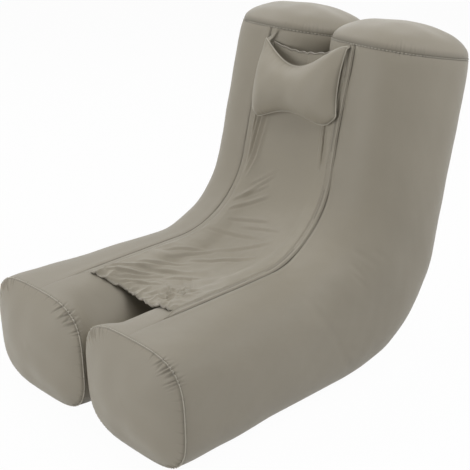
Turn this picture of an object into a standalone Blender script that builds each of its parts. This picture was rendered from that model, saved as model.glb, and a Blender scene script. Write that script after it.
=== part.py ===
"""Inflatable lounge sofa: two L-shaped air tubes in sewn covers, a sling seat between them and a head pillow.

Metres, +Z up. X runs across the sofa, the sitter faces -Y, and +X is the sitter's left. The origin is on the
floor under the middle of the object. Each tube is a section carried along two profiles: the outer one lies on
the floor and climbs the back, and the inner one is the line that the sitter leans on.
"""

import math

import bmesh
import bpy
import numpy as np
from mathutils import Matrix

# Outer profile of a tube, from the foot seam to the top seam
SEAT_RUN = 0.616
BEND_RADIUS = 0.328
RECLINE = math.radians(75.9)
BACK_RUN = 0.548

# Inner profile: height at the foot, rise of the seat, depth at the top, taper of the back, radius of the crook
FOOT_HEIGHT = 0.301
SEAT_RISE = math.radians(2.9)
TOP_DEPTH = 0.355
BACK_TAPER = math.radians(2.9)
CROOK_RADIUS = 0.248
FOOT_TILT = math.radians(1.92)
TOP_TILT = math.radians(2.4)

# Section of a tube at stations along it: 0 foot seam, 1 start of the bend, 2 end of the bend, 3 top seam
WIDTH_AT = ((0.0, 1.0, 2.0, 3.0), (0.370, 0.323, 0.331, 0.322))
SQUARENESS_AT = ((0.0, 0.45, 1.5, 3.0), (3.4, 3.1, 2.8, 2.5))
TUBE_GAP = 0.006
DRAW_IN = 0.004
DRAW_LENGTH = 0.020
FLOOR_CUT = 0.0005
FOOT_DOME = (0.041, 0.74)
TOP_DOME = (0.070, 0.50)

# Seams, measured from the middle plane of the sofa at the same stations
SLING_SEAM_AT = ((0.0, 1.0, 1.4, 2.0, 2.4, 3.0), (0.178, 0.176, 0.168, 0.164, 0.162, 0.148))
JOIN_ANGLE = math.radians(190)
SEAM_HALF_GAP = math.radians(0.15)

# Angles of the corners of the faceted section, in degrees, closer together where the fabric turns
JOIN_SIDE_ANGLES = (-155, -141, -130, -117, -99)
OUTSIDE_ANGLES = (-81, -63, -50, -39, -24, 0, 24, 39, 50, 63, 77)
INSIDE_ANGLES = (113, 126, 136, 147, 164)
COVER_WALL = 0.0012
BLADDER_WALL = 0.0008
BLADDER_INSET = 0.0065
PIPING_RADIUS = 0.0020
PIPING_LIFT = 0.0008
FABRIC_GAP = 0.0004

# Sling seat
SLING_THICKNESS = 0.0015
SLING_LIFT = 0.0030
SLING_CLEARANCE = 0.0045
SLING_FRONT = 0.148
SLING_FRONT_PULL = 0.018
SLING_TOP_DROP = 0.026
SLING_TOP_SAG = 0.022
SLING_SAG_AT = ((0.0, 0.35, 0.6, 1.0), (0.036, 0.030, 0.024, 0.022))
BINDING_INNER, BINDING_OUTER = 0.0185, 0.0045
HEM_RADIUS = 0.0020

# Head pillow, in the plane of the back
PILLOW_HALF_WIDTH = 0.156
PILLOW_HALF_HEIGHT = 0.122
PILLOW_WAIST = 0.45
PILLOW_DROP = 0.116
PILLOW_FRONT, PILLOW_BACK = 0.046, 0.016
PILLOW_STANDOFF = 0.012
FRONT_CROWN, BACK_CROWN = (3.0, 0.6), (2.0, 1.5)
PILLOW_TAB_AT, PILLOW_TAB_WIDTH = 0.122, 0.014
WELT_RADIUS = 0.0025

# Valve and zip, on the back of each tube, measured up from the end of the bend
VALVE_HEIGHT = 0.400
NECK_BORE, NECK_RADIUS, LIP_RADIUS, FLANGE_RADIUS = 0.0130, 0.0165, 0.0205, 0.0240
PORT_RADIUS, INSERT_RADIUS, CAP_RADIUS, FLAP_RADIUS = 0.0085, 0.0190, 0.0155, 0.0105
INSERT_HINGE = (0.0222, 0.0029)
CAP_HINGE = (0.0178, 0.0052)
ZIP_START, ZIP_LENGTH = 0.030, 0.300
TAPE_WIDTH, TAPE_THICKNESS = 0.026, 0.0008
CHAIN_WIDTH, CHAIN_THICKNESS = 0.0050, 0.0014
SLIDER_LENGTH, SLIDER_WIDTH = 0.012, 0.011
PULL_LENGTH, PULL_WIDTH = 0.028, 0.0075

SIDES = {"left": 1, "right": -1}


def material(name, colour, roughness, metallic=0.0):
    made = bpy.data.materials.new(name)
    made.use_nodes = True
    shader = made.node_tree.nodes["Principled BSDF"]
    shader.inputs["Base Color"].default_value = (*colour, 1)
    shader.inputs["Roughness"].default_value = roughness
    shader.inputs["Metallic"].default_value = metallic
    return made


def add(name, mesh, coat, hidden=False):
    """Links a new object of this mesh, shaded smooth, or as a hidden cutter."""
    mesh.materials.append(coat)
    made = bpy.data.objects.new(name, mesh)
    bpy.context.scene.collection.objects.link(made)
    mesh.shade_smooth()
    mesh.set_sharp_from_angle(angle=math.radians(40))
    made.hide_render = hidden
    made.display_type = "WIRE" if hidden else "TEXTURED"
    return made


def grid(name, points, flip=False, wrap=False, poles=False):
    """A mesh of quads over points[row, column]. poles closes the first and last rows with a fan to their middle."""
    rows, columns = points.shape[:2]
    vertices = points.reshape(-1, 3).tolist()
    last = columns if wrap else columns - 1
    faces = []
    for i in range(rows - 1):
        for j in range(last):
            across = (j + 1) % columns
            faces.append([i * columns + j, (i + 1) * columns + j, (i + 1) * columns + across, i * columns + across])
    if poles:
        for row, order in ((0, 1), (rows - 1, -1)):
            vertices.append(points[row].mean(axis=0).tolist())
            for j in range(columns):
                pair = [row * columns + j, row * columns + (j + 1) % columns][::order]
                faces.append([len(vertices) - 1, *pair])
    if flip:
        faces = [face[::-1] for face in faces]
    mesh = bpy.data.meshes.new(name)
    mesh.from_pydata(vertices, [], faces)
    return mesh


def thicken(made, wall):
    """Gives a sheet its wall, on its inner side."""
    solid = made.modifiers.new("wall", "SOLIDIFY")
    solid.thickness = wall
    solid.offset = -1
    return made


def boolean(made, other, operation):
    step = made.modifiers.new(operation.lower(), "BOOLEAN")
    step.operation = operation
    step.object = other
    return made


def cord(name, points, radius, coat, closed=False):
    """A round cord along points, of six sides."""
    curve = bpy.data.curves.new(name, "CURVE")
    curve.dimensions = "3D"
    curve.bevel_depth = radius
    curve.bevel_resolution = 1
    curve.use_fill_caps = not closed
    spline = curve.splines.new("POLY")
    spline.points.add(len(points) - 1)
    spline.points.foreach_set("co", np.hstack([points, np.ones((len(points), 1))]).ravel())
    spline.use_cyclic_u = closed
    curve.materials.append(coat)
    made = bpy.data.objects.new(name, curve)
    bpy.context.scene.collection.objects.link(made)
    return made


def profile(start, heading, first, radius, turn, second, station):
    """Points of a line, an arc and a line. station runs 0 to 1 on the first line, to 2 on the arc and to 3."""
    station = np.asarray(station, float)
    run = np.clip(station, 0, 1) * first
    angle = heading + np.clip(station - 1, 0, 1) * turn
    back = np.clip(station - 2, 0, 1) * second
    y = start[0] + run * math.cos(heading) + radius * (np.sin(angle) - math.sin(heading))
    z = start[1] + run * math.sin(heading) - radius * (np.cos(angle) - math.cos(heading))
    return np.stack([y + back * math.cos(heading + turn), z + back * math.sin(heading + turn)], axis=-1)


def outer_profile(station):
    return profile((0.0, 0.0), 0.0, SEAT_RUN, BEND_RADIUS, RECLINE, BACK_RUN, station)


def inner_runs():
    """Start, heading, both straight lengths and the turn of the inner profile, whose arc fits its two lines."""
    start = FOOT_HEIGHT * np.array([-math.sin(FOOT_TILT), math.cos(FOOT_TILT)])
    across = RECLINE + math.pi / 2 + TOP_TILT
    end = outer_profile(3.0) + TOP_DEPTH * np.array([math.cos(across), math.sin(across)])
    heading = RECLINE + BACK_TAPER
    seat = np.array([math.cos(SEAT_RISE), math.sin(SEAT_RISE)])
    back = np.array([math.cos(heading), math.sin(heading)])
    along_seat, along_back = np.linalg.solve(np.column_stack([seat, back]), end - start)
    turn = heading - SEAT_RISE
    tangent = CROOK_RADIUS * math.tan(turn / 2)
    return start, along_seat - tangent, along_back - tangent, turn


INNER_START, INNER_SEAT, INNER_BACK, CROOK_TURN = inner_runs()
INNER_LENGTHS = np.cumsum([0.0, INNER_SEAT, CROOK_RADIUS * CROOK_TURN, INNER_BACK])
SHORTER_SEAT = min(SEAT_RUN, INNER_SEAT)
SHORTER_BACK = min(BACK_RUN, INNER_BACK)


def inner_profile(station):
    return profile(INNER_START, SEAT_RISE, INNER_SEAT, CROOK_RADIUS, CROOK_TURN, INNER_BACK, station)


def station_at(distance):
    """The station at a distance along the inner profile from the foot seam."""
    return np.interp(distance, INNER_LENGTHS, (0, 1, 2, 3))


def section(station):
    """Middle, direction from the outer to the inner profile, depth, width and squareness of the tube."""
    station = np.asarray(station, float)
    outer = outer_profile(station)
    across = inner_profile(station) - outer
    depth = np.linalg.norm(across, axis=-1)
    width = np.interp(station, *WIDTH_AT)
    squareness = np.interp(station, *SQUARENESS_AT)
    return outer + across / 2, across / depth[..., None], depth, width, squareness


def drawn_in(station):
    """How far the cover pulls in near its end seams: most at the seam, and gone a few centimetres away."""
    station = np.asarray(station, float)
    from_foot = np.clip(station, 0, 1) * SEAT_RUN
    from_top = np.clip(3 - station, 0, 1) * BACK_RUN
    return DRAW_IN * (np.exp(-from_foot / DRAW_LENGTH) + np.exp(-from_top / DRAW_LENGTH))


def tube_point(side, station, angle, lift=0.0, scale=1.0, push=0.0):
    """A point of a tube's surface: superellipse |x|^n + |z|^n = 1 across the section, angle 0 on the outside.

    lift moves it off the surface, scale shrinks the section about its middle, and push moves the whole section
    along the tube.
    """
    station, angle, scale = np.broadcast_arrays(np.asarray(station, float), angle, scale)
    middle, across, depth, width, power = section(station)
    reach = (np.abs(np.cos(angle)) ** power + np.abs(np.sin(angle)) ** power) ** (-1 / power)
    lift = lift - drawn_in(station)
    x = TUBE_GAP + width / 2 + np.cos(angle) * reach * (width / 2 + lift) * scale
    height = np.sin(angle) * reach * (depth / 2 + lift) * scale
    along = np.stack([across[..., 1], -across[..., 0]], axis=-1)
    yz = middle + across * height[..., None] + along * np.asarray(push)[..., None]
    floor = np.maximum(yz[..., 1] - FLOOR_CUT, np.maximum(0.0, -lift - DRAW_IN))
    return np.stack([side * x, yz[..., 0] - Y_MIDDLE, floor], axis=-1)


def seam_angle(station, beyond=0.0):
    """The angle of the sling seam on the section, or of a line this far beyond it towards the middle plane."""
    middle, across, depth, width, power = section(station)
    x = np.interp(station, *SLING_SEAM_AT) - beyond
    share = np.clip((x - TUBE_GAP - width / 2) / (width / 2), -0.999, 0.999)
    return np.arctan2((1 - np.abs(share) ** power) ** (1 / power), share)


def panel_stations():
    """Stations of the sleeve, closer together in the bend and near the end seams."""
    end = PIPING_RADIUS + FABRIC_GAP
    foot, top = end / SHORTER_SEAT, 3 - end / SHORTER_BACK
    seat = np.linspace(0, 1, 5)[1:-1]
    bend = np.linspace(1, 2, 8)
    back = np.linspace(2, 3, 5)[1:-1]
    return np.concatenate([[foot, 0.045], seat, bend, back, [2.94, top]])


def outer_angles(station, gap):
    """Angles of the outer panel: up the join side, flat on the floor, round the outside, to the sling seam."""
    fixed = np.radians(JOIN_SIDE_ANGLES + OUTSIDE_ANGLES)
    join = np.full((len(station), 1), JOIN_ANGLE - 2 * math.pi + SEAM_HALF_GAP)
    return np.hstack([join, np.tile(fixed, (len(station), 1)), seam_angle(station, -gap)[:, None]])


def inner_angles(station, gap):
    fixed = np.radians(INSIDE_ANGLES)
    join = np.full((len(station), 1), JOIN_ANGLE - SEAM_HALF_GAP)
    return np.hstack([seam_angle(station, gap)[:, None], np.tile(fixed, (len(station), 1)), join])


def ring_angles(station):
    """Angles round the whole section, on the corners of both panels."""
    station = np.atleast_1d(station)
    return np.concatenate([outer_angles(station, 0.0)[0], inner_angles(station, 0.0)[0][1:-1]])


def cover_panels(name, side, coat):
    station = panel_stations()
    gap = PIPING_RADIUS + FABRIC_GAP
    for piece, angles in (("outer_panel", outer_angles(station, gap)), ("inner_panel", inner_angles(station, gap))):
        points = tube_point(side, station[:, None], angles)
        thicken(add(f"{name}_{piece}", grid(piece, points, flip=side < 0), coat), COVER_WALL)


def end_panel(name, side, station, dome, coat):
    """A domed end: the section shrinks to its middle while it is pushed out by height (1 - scale^2)^power."""
    height, power = dome
    outwards = 1 if station > 1 else -1
    scale = np.array([1.0, 0.93, 0.78, 0.55, 0.28])
    rim = PIPING_RADIUS + FABRIC_GAP + COVER_WALL
    push = outwards * (rim + height * (1 - scale**2) ** power)
    angles = ring_angles(station)
    rings = tube_point(side, station, angles[None, :], 0.0, scale[:, None], push[:, None])
    tip = tube_point(side, station, 0.0, 0.0, 0.0, outwards * (rim + height))
    mesh = bmesh.new()
    rows = [[mesh.verts.new(point) for point in ring] for ring in rings]
    middle = mesh.verts.new(tip)
    for near, far in zip(rows, rows[1:]):
        for j in range(len(near)):
            following = (j + 1) % len(near)
            mesh.faces.new([near[j], far[j], far[following], near[following]])
    for j in range(len(rows[-1])):
        mesh.faces.new([rows[-1][j], middle, rows[-1][(j + 1) % len(rows[-1])]])
    if outwards * side < 0:
        bmesh.ops.reverse_faces(mesh, faces=mesh.faces)
    made = bpy.data.meshes.new(name)
    mesh.to_mesh(made)
    mesh.free()
    thicken(add(name, made, coat), COVER_WALL)


def pipings(name, side, coat):
    for end, station in (("foot", 0.0), ("top", 3.0)):
        ring = tube_point(side, station, ring_angles(station), lift=PIPING_LIFT)
        cord(f"{name}_{end}_piping", ring, PIPING_RADIUS, coat, closed=True)
    clear = 2 * PIPING_RADIUS + 2 * FABRIC_GAP
    station = panel_stations()
    station[0], station[-1] = clear / SHORTER_SEAT, 3 - clear / SHORTER_BACK
    line = tube_point(side, station, seam_angle(station), lift=PIPING_LIFT)
    cord(f"{name}_seam_piping", line, PIPING_RADIUS, coat)


def sling_binding(name, side, coat):
    station = station_at(np.linspace(SLING_FRONT - 0.03, INNER_LENGTHS[3] - 0.010, 24))
    angles = np.stack([seam_angle(station, BINDING_OUTER), seam_angle(station, BINDING_INNER)], axis=1)
    points = tube_point(side, station[:, None], angles, lift=0.0024)
    thicken(add(f"{name}_sling_binding", grid("binding", points, flip=side < 0), coat), 0.0010)


def air_bladder(name, side, coat, hole):
    """The inner tube: the same section a little smaller, with rounded ends and the valve's hole."""
    station = panel_stations()
    wide = ring_angles(1.0)
    angles = wide[[0, 1, 3, 4, 5, 7, 9, 11, 13, 15, 17, 19]]
    rows = [tube_point(side, s, angles, -BLADDER_INSET) for s in station]
    for scale, push in ((0.80, 0.012), (0.45, 0.020)):
        rows.insert(0, tube_point(side, 0.0, angles, -BLADDER_INSET, scale, -push))
        rows.append(tube_point(side, 3.0, angles, -BLADDER_INSET, scale, push + 0.012))
    made = add(f"{name}_air_bladder", grid("bladder", np.array(rows), side < 0, wrap=True, poles=True), coat)
    thicken(made, BLADDER_WALL)
    boolean(made, hole, "DIFFERENCE")


def back_frame(side, height):
    """Where something sits on the back of a tube: X across, Y up the back, Z away from it."""
    foot = outer_profile(2.0)
    middle = TUBE_GAP + np.interp(2.5, *WIDTH_AT) / 2
    up = np.array([math.cos(RECLINE), math.sin(RECLINE)])
    y, z = foot + up * height
    return Matrix(
        (
            (-1, 0, 0, side * middle),
            (0, up[0], up[1], y - Y_MIDDLE),
            (0, up[1], -up[0], z - FLOOR_CUT),
            (0, 0, 0, 1),
        )
    )


def turned(name, outline, coat, frame, segments=20, hidden=False):
    """A ring or a disc turned round its Z axis from a closed outline of (radius, height) points."""
    mesh = bmesh.new()
    loop = [mesh.verts.new((r, 0, z)) for r, z in outline]
    edges = [mesh.edges.new((loop[i], loop[(i + 1) % len(loop)])) for i in range(len(loop))]
    axis = {"cent": (0, 0, 0), "axis": (0, 0, 1)}
    bmesh.ops.spin(mesh, geom=loop + edges, angle=2 * math.pi, steps=segments, use_merge=True, **axis)
    bmesh.ops.remove_doubles(mesh, verts=mesh.verts, dist=1e-6)
    bmesh.ops.recalc_face_normals(mesh, faces=mesh.faces)
    made = bpy.data.meshes.new(name)
    mesh.to_mesh(made)
    mesh.free()
    placed = add(name, made, coat, hidden)
    placed.matrix_world = frame
    return placed


def box(name, low, high, coat, frame, hidden=False, bevel=0.0):
    mesh = bmesh.new()
    bmesh.ops.create_cube(mesh, size=1)
    size = [b - a for a, b in zip(low, high)]
    middle = [(a + b) / 2 for a, b in zip(low, high)]
    bmesh.ops.scale(mesh, vec=size, verts=mesh.verts)
    bmesh.ops.translate(mesh, vec=middle, verts=mesh.verts)
    if bevel:
        bmesh.ops.bevel(mesh, geom=mesh.edges[:], offset=bevel, segments=1, affect="EDGES")
    made = bpy.data.meshes.new(name)
    mesh.to_mesh(made)
    mesh.free()
    placed = add(name, made, coat, hidden)
    placed.matrix_world = frame
    return placed


def barrel(name, across, hinge, radius, coat, frame):
    """A hinge barrel along X from across[0] to across[1], as a hidden piece to be joined to another."""
    mesh = bmesh.new()
    length = across[1] - across[0]
    turn = Matrix.Translation((sum(across) / 2, *hinge)) @ Matrix.Rotation(math.pi / 2, 4, "Y")
    ends = {"cap_ends": True, "segments": 10, "radius1": radius, "radius2": radius}
    bmesh.ops.create_cone(mesh, depth=length, matrix=turn, **ends)
    made = bpy.data.meshes.new(name)
    mesh.to_mesh(made)
    mesh.free()
    placed = add(name, made, coat, hidden=True)
    placed.matrix_world = frame
    return placed


def ear(made, across, start, hinge, low, high, coat, frame):
    """Joins a hinge ear to a turned piece: a tongue from start out to the hinge, and a barrel on its axis."""
    label = f"{made.name}_ear_{round(across[0] * 1e4)}"
    reach = hinge[0] + 0.0004
    tongue = box(f"{label}_tongue", (across[0], start, low), (across[1], reach, high), coat, frame, hidden=True)
    knuckle = barrel(f"{label}_barrel", across, hinge, 0.0011, coat, frame)
    boolean(made, tongue, "UNION")
    boolean(made, knuckle, "UNION")


def valve(name, side, plastic, rubber):
    frame = back_frame(side, VALVE_HEIGHT)
    base = turned(
        f"{name}_valve_base",
        [
            (NECK_BORE, -0.0061),
            (FLANGE_RADIUS, -0.0061),
            (FLANGE_RADIUS, -0.0047),
            (NECK_RADIUS, -0.0047),
            (NECK_RADIUS, 0.0004),
            (LIP_RADIUS, 0.0004),
            (LIP_RADIUS, 0.0019),
            (NECK_BORE, 0.0019),
        ],
        plastic,
        frame,
    )
    for across in ((-0.0052, -0.0024), (0.0024, 0.0052)):
        ear(base, across, 0.0180, INSERT_HINGE, 0.0006, 0.0030, plastic, frame)
    insert = turned(
        f"{name}_valve_insert",
        [
            (PORT_RADIUS, -0.0018),
            (0.0116, -0.0018),
            (0.0125, 0.0022),
            (INSERT_RADIUS - 0.0008, 0.0022),
            (INSERT_RADIUS - 0.0008, 0.0036),
            (PORT_RADIUS, 0.0036),
        ],
        plastic,
        frame,
    )
    ear(insert, (-0.0020, 0.0020), 0.0165, INSERT_HINGE, 0.0024, 0.0035, plastic, frame)
    for across in ((-0.0052, -0.0024), (0.0024, 0.0052)):
        ear(insert, across, 0.0162, CAP_HINGE, 0.0030, 0.0054, plastic, frame)
    flap_outline = [(0.0, -0.0031), (FLAP_RADIUS, -0.0031), (FLAP_RADIUS, -0.0022), (0.0, -0.0022)]
    turned(f"{name}_valve_flap", flap_outline, rubber, frame)
    cap = turned(
        f"{name}_valve_cap",
        [(0.0, 0.0010), (0.0074, 0.0010), (0.0081, 0.0040), (CAP_RADIUS, 0.0040), (CAP_RADIUS, 0.0056), (0.0, 0.0056)],
        plastic,
        frame,
    )
    ear(cap, (-0.0020, 0.0020), 0.0130, CAP_HINGE, 0.0042, 0.0055, plastic, frame)
    grip = box("grip", (-0.0035, -0.0185, 0.0043), (0.0035, -0.0140, 0.0055), plastic, frame, hidden=True)
    grip.name = f"{name}_valve_cap_grip"
    boolean(cap, grip, "UNION")


def zip_fastener(name, side, tape_coat, chain_coat, metal):
    """Tape and teeth up the back, with the slider at the lower end and its pull hanging straight down."""
    frame = back_frame(side, ZIP_START)
    half = TAPE_WIDTH / 2
    tape_top = FABRIC_GAP + TAPE_THICKNESS
    box(f"{name}_zip_tape", (-half, 0, FABRIC_GAP), (half, ZIP_LENGTH, tape_top), tape_coat, frame)
    chain_low, chain_high = tape_top + 0.0003, tape_top + 0.0003 + CHAIN_THICKNESS
    half = CHAIN_WIDTH / 2
    ends = (0.006, ZIP_LENGTH - 0.006)
    box(f"{name}_zip_chain", (-half, ends[0], chain_low), (half, ends[1], chain_high), chain_coat, frame)
    low, high = ends[0] + 0.002, ends[0] + 0.002 + SLIDER_LENGTH
    top = chain_high + 0.0020
    half = SLIDER_WIDTH / 2
    slider = box(f"{name}_zip_slider", (-half, low, chain_low), (half, high, top), metal, frame, bevel=0.0006)
    channel_low, channel_high = (-0.0030, low - 0.002, chain_low - 0.002), (0.0030, high + 0.002, chain_high + 0.0004)
    channel = box(f"{name}_zip_channel", channel_low, channel_high, metal, frame, hidden=True)
    boolean(slider, channel, "DIFFERENCE")
    hinge = ((low + high) / 2, top + 0.0016)
    for across in ((-0.0040, -0.0024), (0.0024, 0.0040)):
        lug = barrel(f"{slider.name}_lug_{round(across[0] * 1e4)}", across, hinge, 0.0020, metal, frame)
        boolean(slider, lug, "UNION")
    swing = frame @ Matrix.Translation((0, *hinge)) @ Matrix.Rotation(-(math.pi / 2 - RECLINE), 4, "X")
    pull = box(
        f"{name}_zip_pull", (-PULL_WIDTH / 2, -PULL_LENGTH, -0.0006), (PULL_WIDTH / 2, -0.0045, 0.0006), metal, swing
    )
    neck = box(f"{name}_zip_pull_neck", (-0.0018, -0.0055, -0.0005), (0.0018, 0.0, 0.0005), metal, swing, hidden=True)
    boolean(pull, neck, "UNION")
    boolean(pull, barrel(f"{name}_zip_pull_barrel", (-0.0020, 0.0020), (0, 0), 0.0012, metal, swing), "UNION")


def tube(name, side, coats):
    """One tube with all that it carries."""
    fabric, trim, film, plastic, rubber, metal = coats
    frame = back_frame(side, VALVE_HEIGHT)
    reach = 0.0018
    outline = [(0.0, -0.012), (NECK_BORE, -0.012), (NECK_BORE, 0.012), (0.0, 0.012)]
    bladder_hole = turned(f"{name}_bladder_hole", outline, plastic, frame, 16, hidden=True)
    outline = [(0.0, -0.003), (NECK_RADIUS + reach, -0.003), (NECK_RADIUS + reach, 0.003), (0.0, 0.003)]
    cover_hole = turned(f"{name}_cover_hole", outline, plastic, frame, 16, hidden=True)
    cover_panels(name, side, fabric)
    slot_low, slot_high = (-0.004, 0.010, -0.004), (0.004, ZIP_LENGTH - 0.010, 0.004)
    slot = box(f"{name}_zip_slot", slot_low, slot_high, plastic, back_frame(side, ZIP_START), hidden=True)
    outer = bpy.data.objects[f"{name}_outer_panel"]
    boolean(outer, cover_hole, "DIFFERENCE")
    boolean(outer, slot, "DIFFERENCE")
    end_panel(f"{name}_foot_panel", side, 0.0, FOOT_DOME, fabric)
    end_panel(f"{name}_top_panel", side, 3.0, TOP_DOME, fabric)
    pipings(name, side, trim)
    sling_binding(name, side, trim)
    air_bladder(name, side, film, bladder_hole)
    valve(name, side, plastic, rubber)
    zip_fastener(name, side, trim, plastic, metal)


def sling_folds(across, along):
    """Main folds of the sling: scallops at the gathered front edge and soft waves over the seat."""
    scallops = 0.006 * np.cos(across * 3.5 * math.pi + 0.6) * np.exp(-along / 0.07)
    waves = 0.003 * np.sin(along / 0.045 + 1.5 * across) * np.exp(-(((along - 0.18) / 0.16) ** 2))
    pleats = 0.002 * np.cos(across * 5 * math.pi) * np.exp(-(((along - 0.82) / 0.16) ** 2))
    return (scallops + waves + pleats) * (1 - across**2) ** 0.7


def sling_point(across, share, before=0.0, sink=0.0):
    """A point of the sling. across runs -1 to 1 between its edges, and share 0 to 1 from the front to the top.

    It hangs below the line between its edges by sag (1 - across^2), and lies on the tubes where they are higher:
    the smooth greater of the two is (a + b + sqrt((a - b)^2 + k^2)) / 2.
    """
    front = SLING_FRONT + SLING_FRONT_PULL * (1 - across**2)
    top = INNER_LENGTHS[3] - SLING_TOP_DROP - SLING_TOP_SAG * (1 - across**2)
    distance = front + share * (top - front) + before
    station = station_at(distance)
    middle, direction, depth, width, power = section(station)
    edge = np.interp(station, *SLING_SEAM_AT) - BINDING_INNER - 0.0012

    def tube_height(x):
        inside = np.clip(np.abs((x - TUBE_GAP - width / 2) / (width / 2)), 0, 1)
        return depth / 2 * (1 - inside**power) ** (1 / power) - drawn_in(station)

    x = across * edge
    free = tube_height(edge) + SLING_LIFT - np.interp(share, *SLING_SAG_AT) * (1 - across**2)
    free = free + sling_folds(across, distance - front)
    on_tube = tube_height(np.abs(x)) + SLING_CLEARANCE
    height = (free + on_tube + np.sqrt((free - on_tube) ** 2 + 0.004**2)) / 2
    settle = np.clip((1 - np.abs(across)) / 0.1, 0, 1)
    height = height * settle + (tube_height(edge) + SLING_LIFT) * (1 - settle) - sink
    yz = middle + direction * height[..., None]
    return np.stack([x, yz[..., 0] - Y_MIDDLE, yz[..., 1] - FLOOR_CUT], axis=-1)


def sling(fabric, elastic):
    across = np.linspace(-1, 1, 17)
    share = np.linspace(0, 1, 27) ** 0.95
    points = sling_point(across[None, :], share[:, None])
    thicken(add("seat_sling", grid("sling", points, flip=True), fabric), SLING_THICKNESS)
    across = np.linspace(-0.98, 0.98, 20)
    reach = HEM_RADIUS + 0.0006
    for name, share, before in (("front_hem_elastic", 0.0, -reach), ("top_hem_elastic", 1.0, reach)):
        line = sling_point(across, np.full(across.shape, share), before, SLING_THICKNESS / 2)
        cord(name, line, HEM_RADIUS, elastic)


def join_strip(coat):
    """The ribbon between the covers, a little below the middle of their facing sides."""
    station = np.linspace(0.12, 2.88, 22)
    edge = np.stack([tube_point(side, station, JOIN_ANGLE) for side in (1, -1)], axis=1)
    edge[:, 0, 0] -= FABRIC_GAP
    edge[:, 1, 0] += FABRIC_GAP
    thicken(add("centre_join_strip", grid("strip", edge, flip=True), coat), 0.0020)


def pillow_frame():
    """The pillow's own axes: X across, Y up the back, Z towards the sitter, from the middle of the pillow."""
    y, z = inner_profile(station_at(INNER_LENGTHS[3] - PILLOW_DROP))
    heading = SEAT_RISE + CROOK_TURN
    up = (math.cos(heading), math.sin(heading))
    out = (-up[1], up[0])
    return Matrix(
        (
            (1, 0, 0, 0),
            (0, up[0], out[0], y + out[0] * PILLOW_STANDOFF - Y_MIDDLE),
            (0, up[1], out[1], z + out[1] * PILLOW_STANDOFF - FLOOR_CUT),
            (0, 0, 0, 1),
        )
    )


def pillow_outline(angle, inset=0.0):
    """The bow-tie outline: a rounded rectangle whose height shrinks to the waist in the middle."""
    power = 5.0
    reach = (np.abs(np.cos(angle)) ** power + np.abs(np.sin(angle)) ** power) ** (-1 / power)
    a, b = np.cos(angle) * reach, np.sin(angle) * reach
    pinch = PILLOW_WAIST + (1 - PILLOW_WAIST) * np.abs(a) ** 1.7
    bow = 1 - 0.05 * (1 - b**2)
    return a * bow * (PILLOW_HALF_WIDTH - inset), b * pinch * (PILLOW_HALF_HEIGHT - inset)


def pillow_sheet(height, crown, inset, base, rings, columns):
    """Rings from the rim to the middle, raised by height (1 - scale^a)^b, where crown is (a, b)."""
    angle = np.linspace(0, 2 * math.pi, columns, endpoint=False) + math.pi / columns
    x, y = pillow_outline(angle, inset)
    scale = np.array(rings)[:, None]
    rise = np.sign(height) * base + height * (1 - scale ** crown[0]) ** crown[1]
    return np.stack([x * scale, y * scale, np.broadcast_to(rise, (len(rings), columns))], axis=-1)


def pillow_cap(name, points, coat, upwards, frame):
    """A cover half: rings closed at the middle with a fan."""
    rows, columns = points.shape[:2]
    mesh = bmesh.new()
    rings = [[mesh.verts.new(point) for point in ring] for ring in points]
    tip = mesh.verts.new(points[-1].mean(axis=0))
    for near, far in zip(rings, rings[1:]):
        for j in range(columns):
            k = (j + 1) % columns
            mesh.faces.new([near[j], near[k], far[k], far[j]])
    for j in range(columns):
        mesh.faces.new([rings[-1][j], rings[-1][(j + 1) % columns], tip])
    if not upwards:
        bmesh.ops.reverse_faces(mesh, faces=mesh.faces)
    made = bpy.data.meshes.new(name)
    mesh.to_mesh(made)
    mesh.free()
    placed = add(name, made, coat)
    placed.matrix_world = frame
    return placed


def pillow(fabric, trim, wadding):
    frame = pillow_frame()
    columns = 28
    rings = (1.0, 0.94, 0.80, 0.58, 0.30)
    base = WELT_RADIUS + FABRIC_GAP + COVER_WALL
    halves = (("front", PILLOW_FRONT - base, FRONT_CROWN, True), ("back", base - PILLOW_BACK, BACK_CROWN, False))
    for name, height, crown, upwards in halves:
        points = pillow_sheet(height, crown, 0.0, base, rings, columns)
        thicken(pillow_cap(f"pillow_{name}_cover", points, fabric, upwards, frame), COVER_WALL)
    angle = np.linspace(0, 2 * math.pi, columns, endpoint=False) + math.pi / columns
    x, y = pillow_outline(angle)
    welt = cord("pillow_welt", np.stack([x, y, 0 * x], axis=-1), WELT_RADIUS, trim, closed=True)
    welt.matrix_world = frame
    front = pillow_sheet(PILLOW_FRONT - 0.0110, FRONT_CROWN, 0.012, 0.0015, (1.0, 0.80, 0.45), columns // 2)
    back = pillow_sheet(0.0075 - PILLOW_BACK, BACK_CROWN, 0.012, 0.0015, (1.0, 0.80, 0.45), columns // 2)
    points = np.concatenate([back[::-1], front])
    filling = add("pillow_filling", grid("filling", points, wrap=True, poles=True, flip=True), wadding)
    filling.matrix_world = frame
    top = y.max() + WELT_RADIUS + FABRIC_GAP
    for name, side in SIDES.items():
        middle = side * PILLOW_TAB_AT
        low = (middle - PILLOW_TAB_WIDTH / 2, top, 0.0036 - PILLOW_STANDOFF)
        high = (middle + PILLOW_TAB_WIDTH / 2, top + 0.0020, 0.0010)
        box(f"pillow_tab_{name}", low, high, trim, frame)


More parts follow.
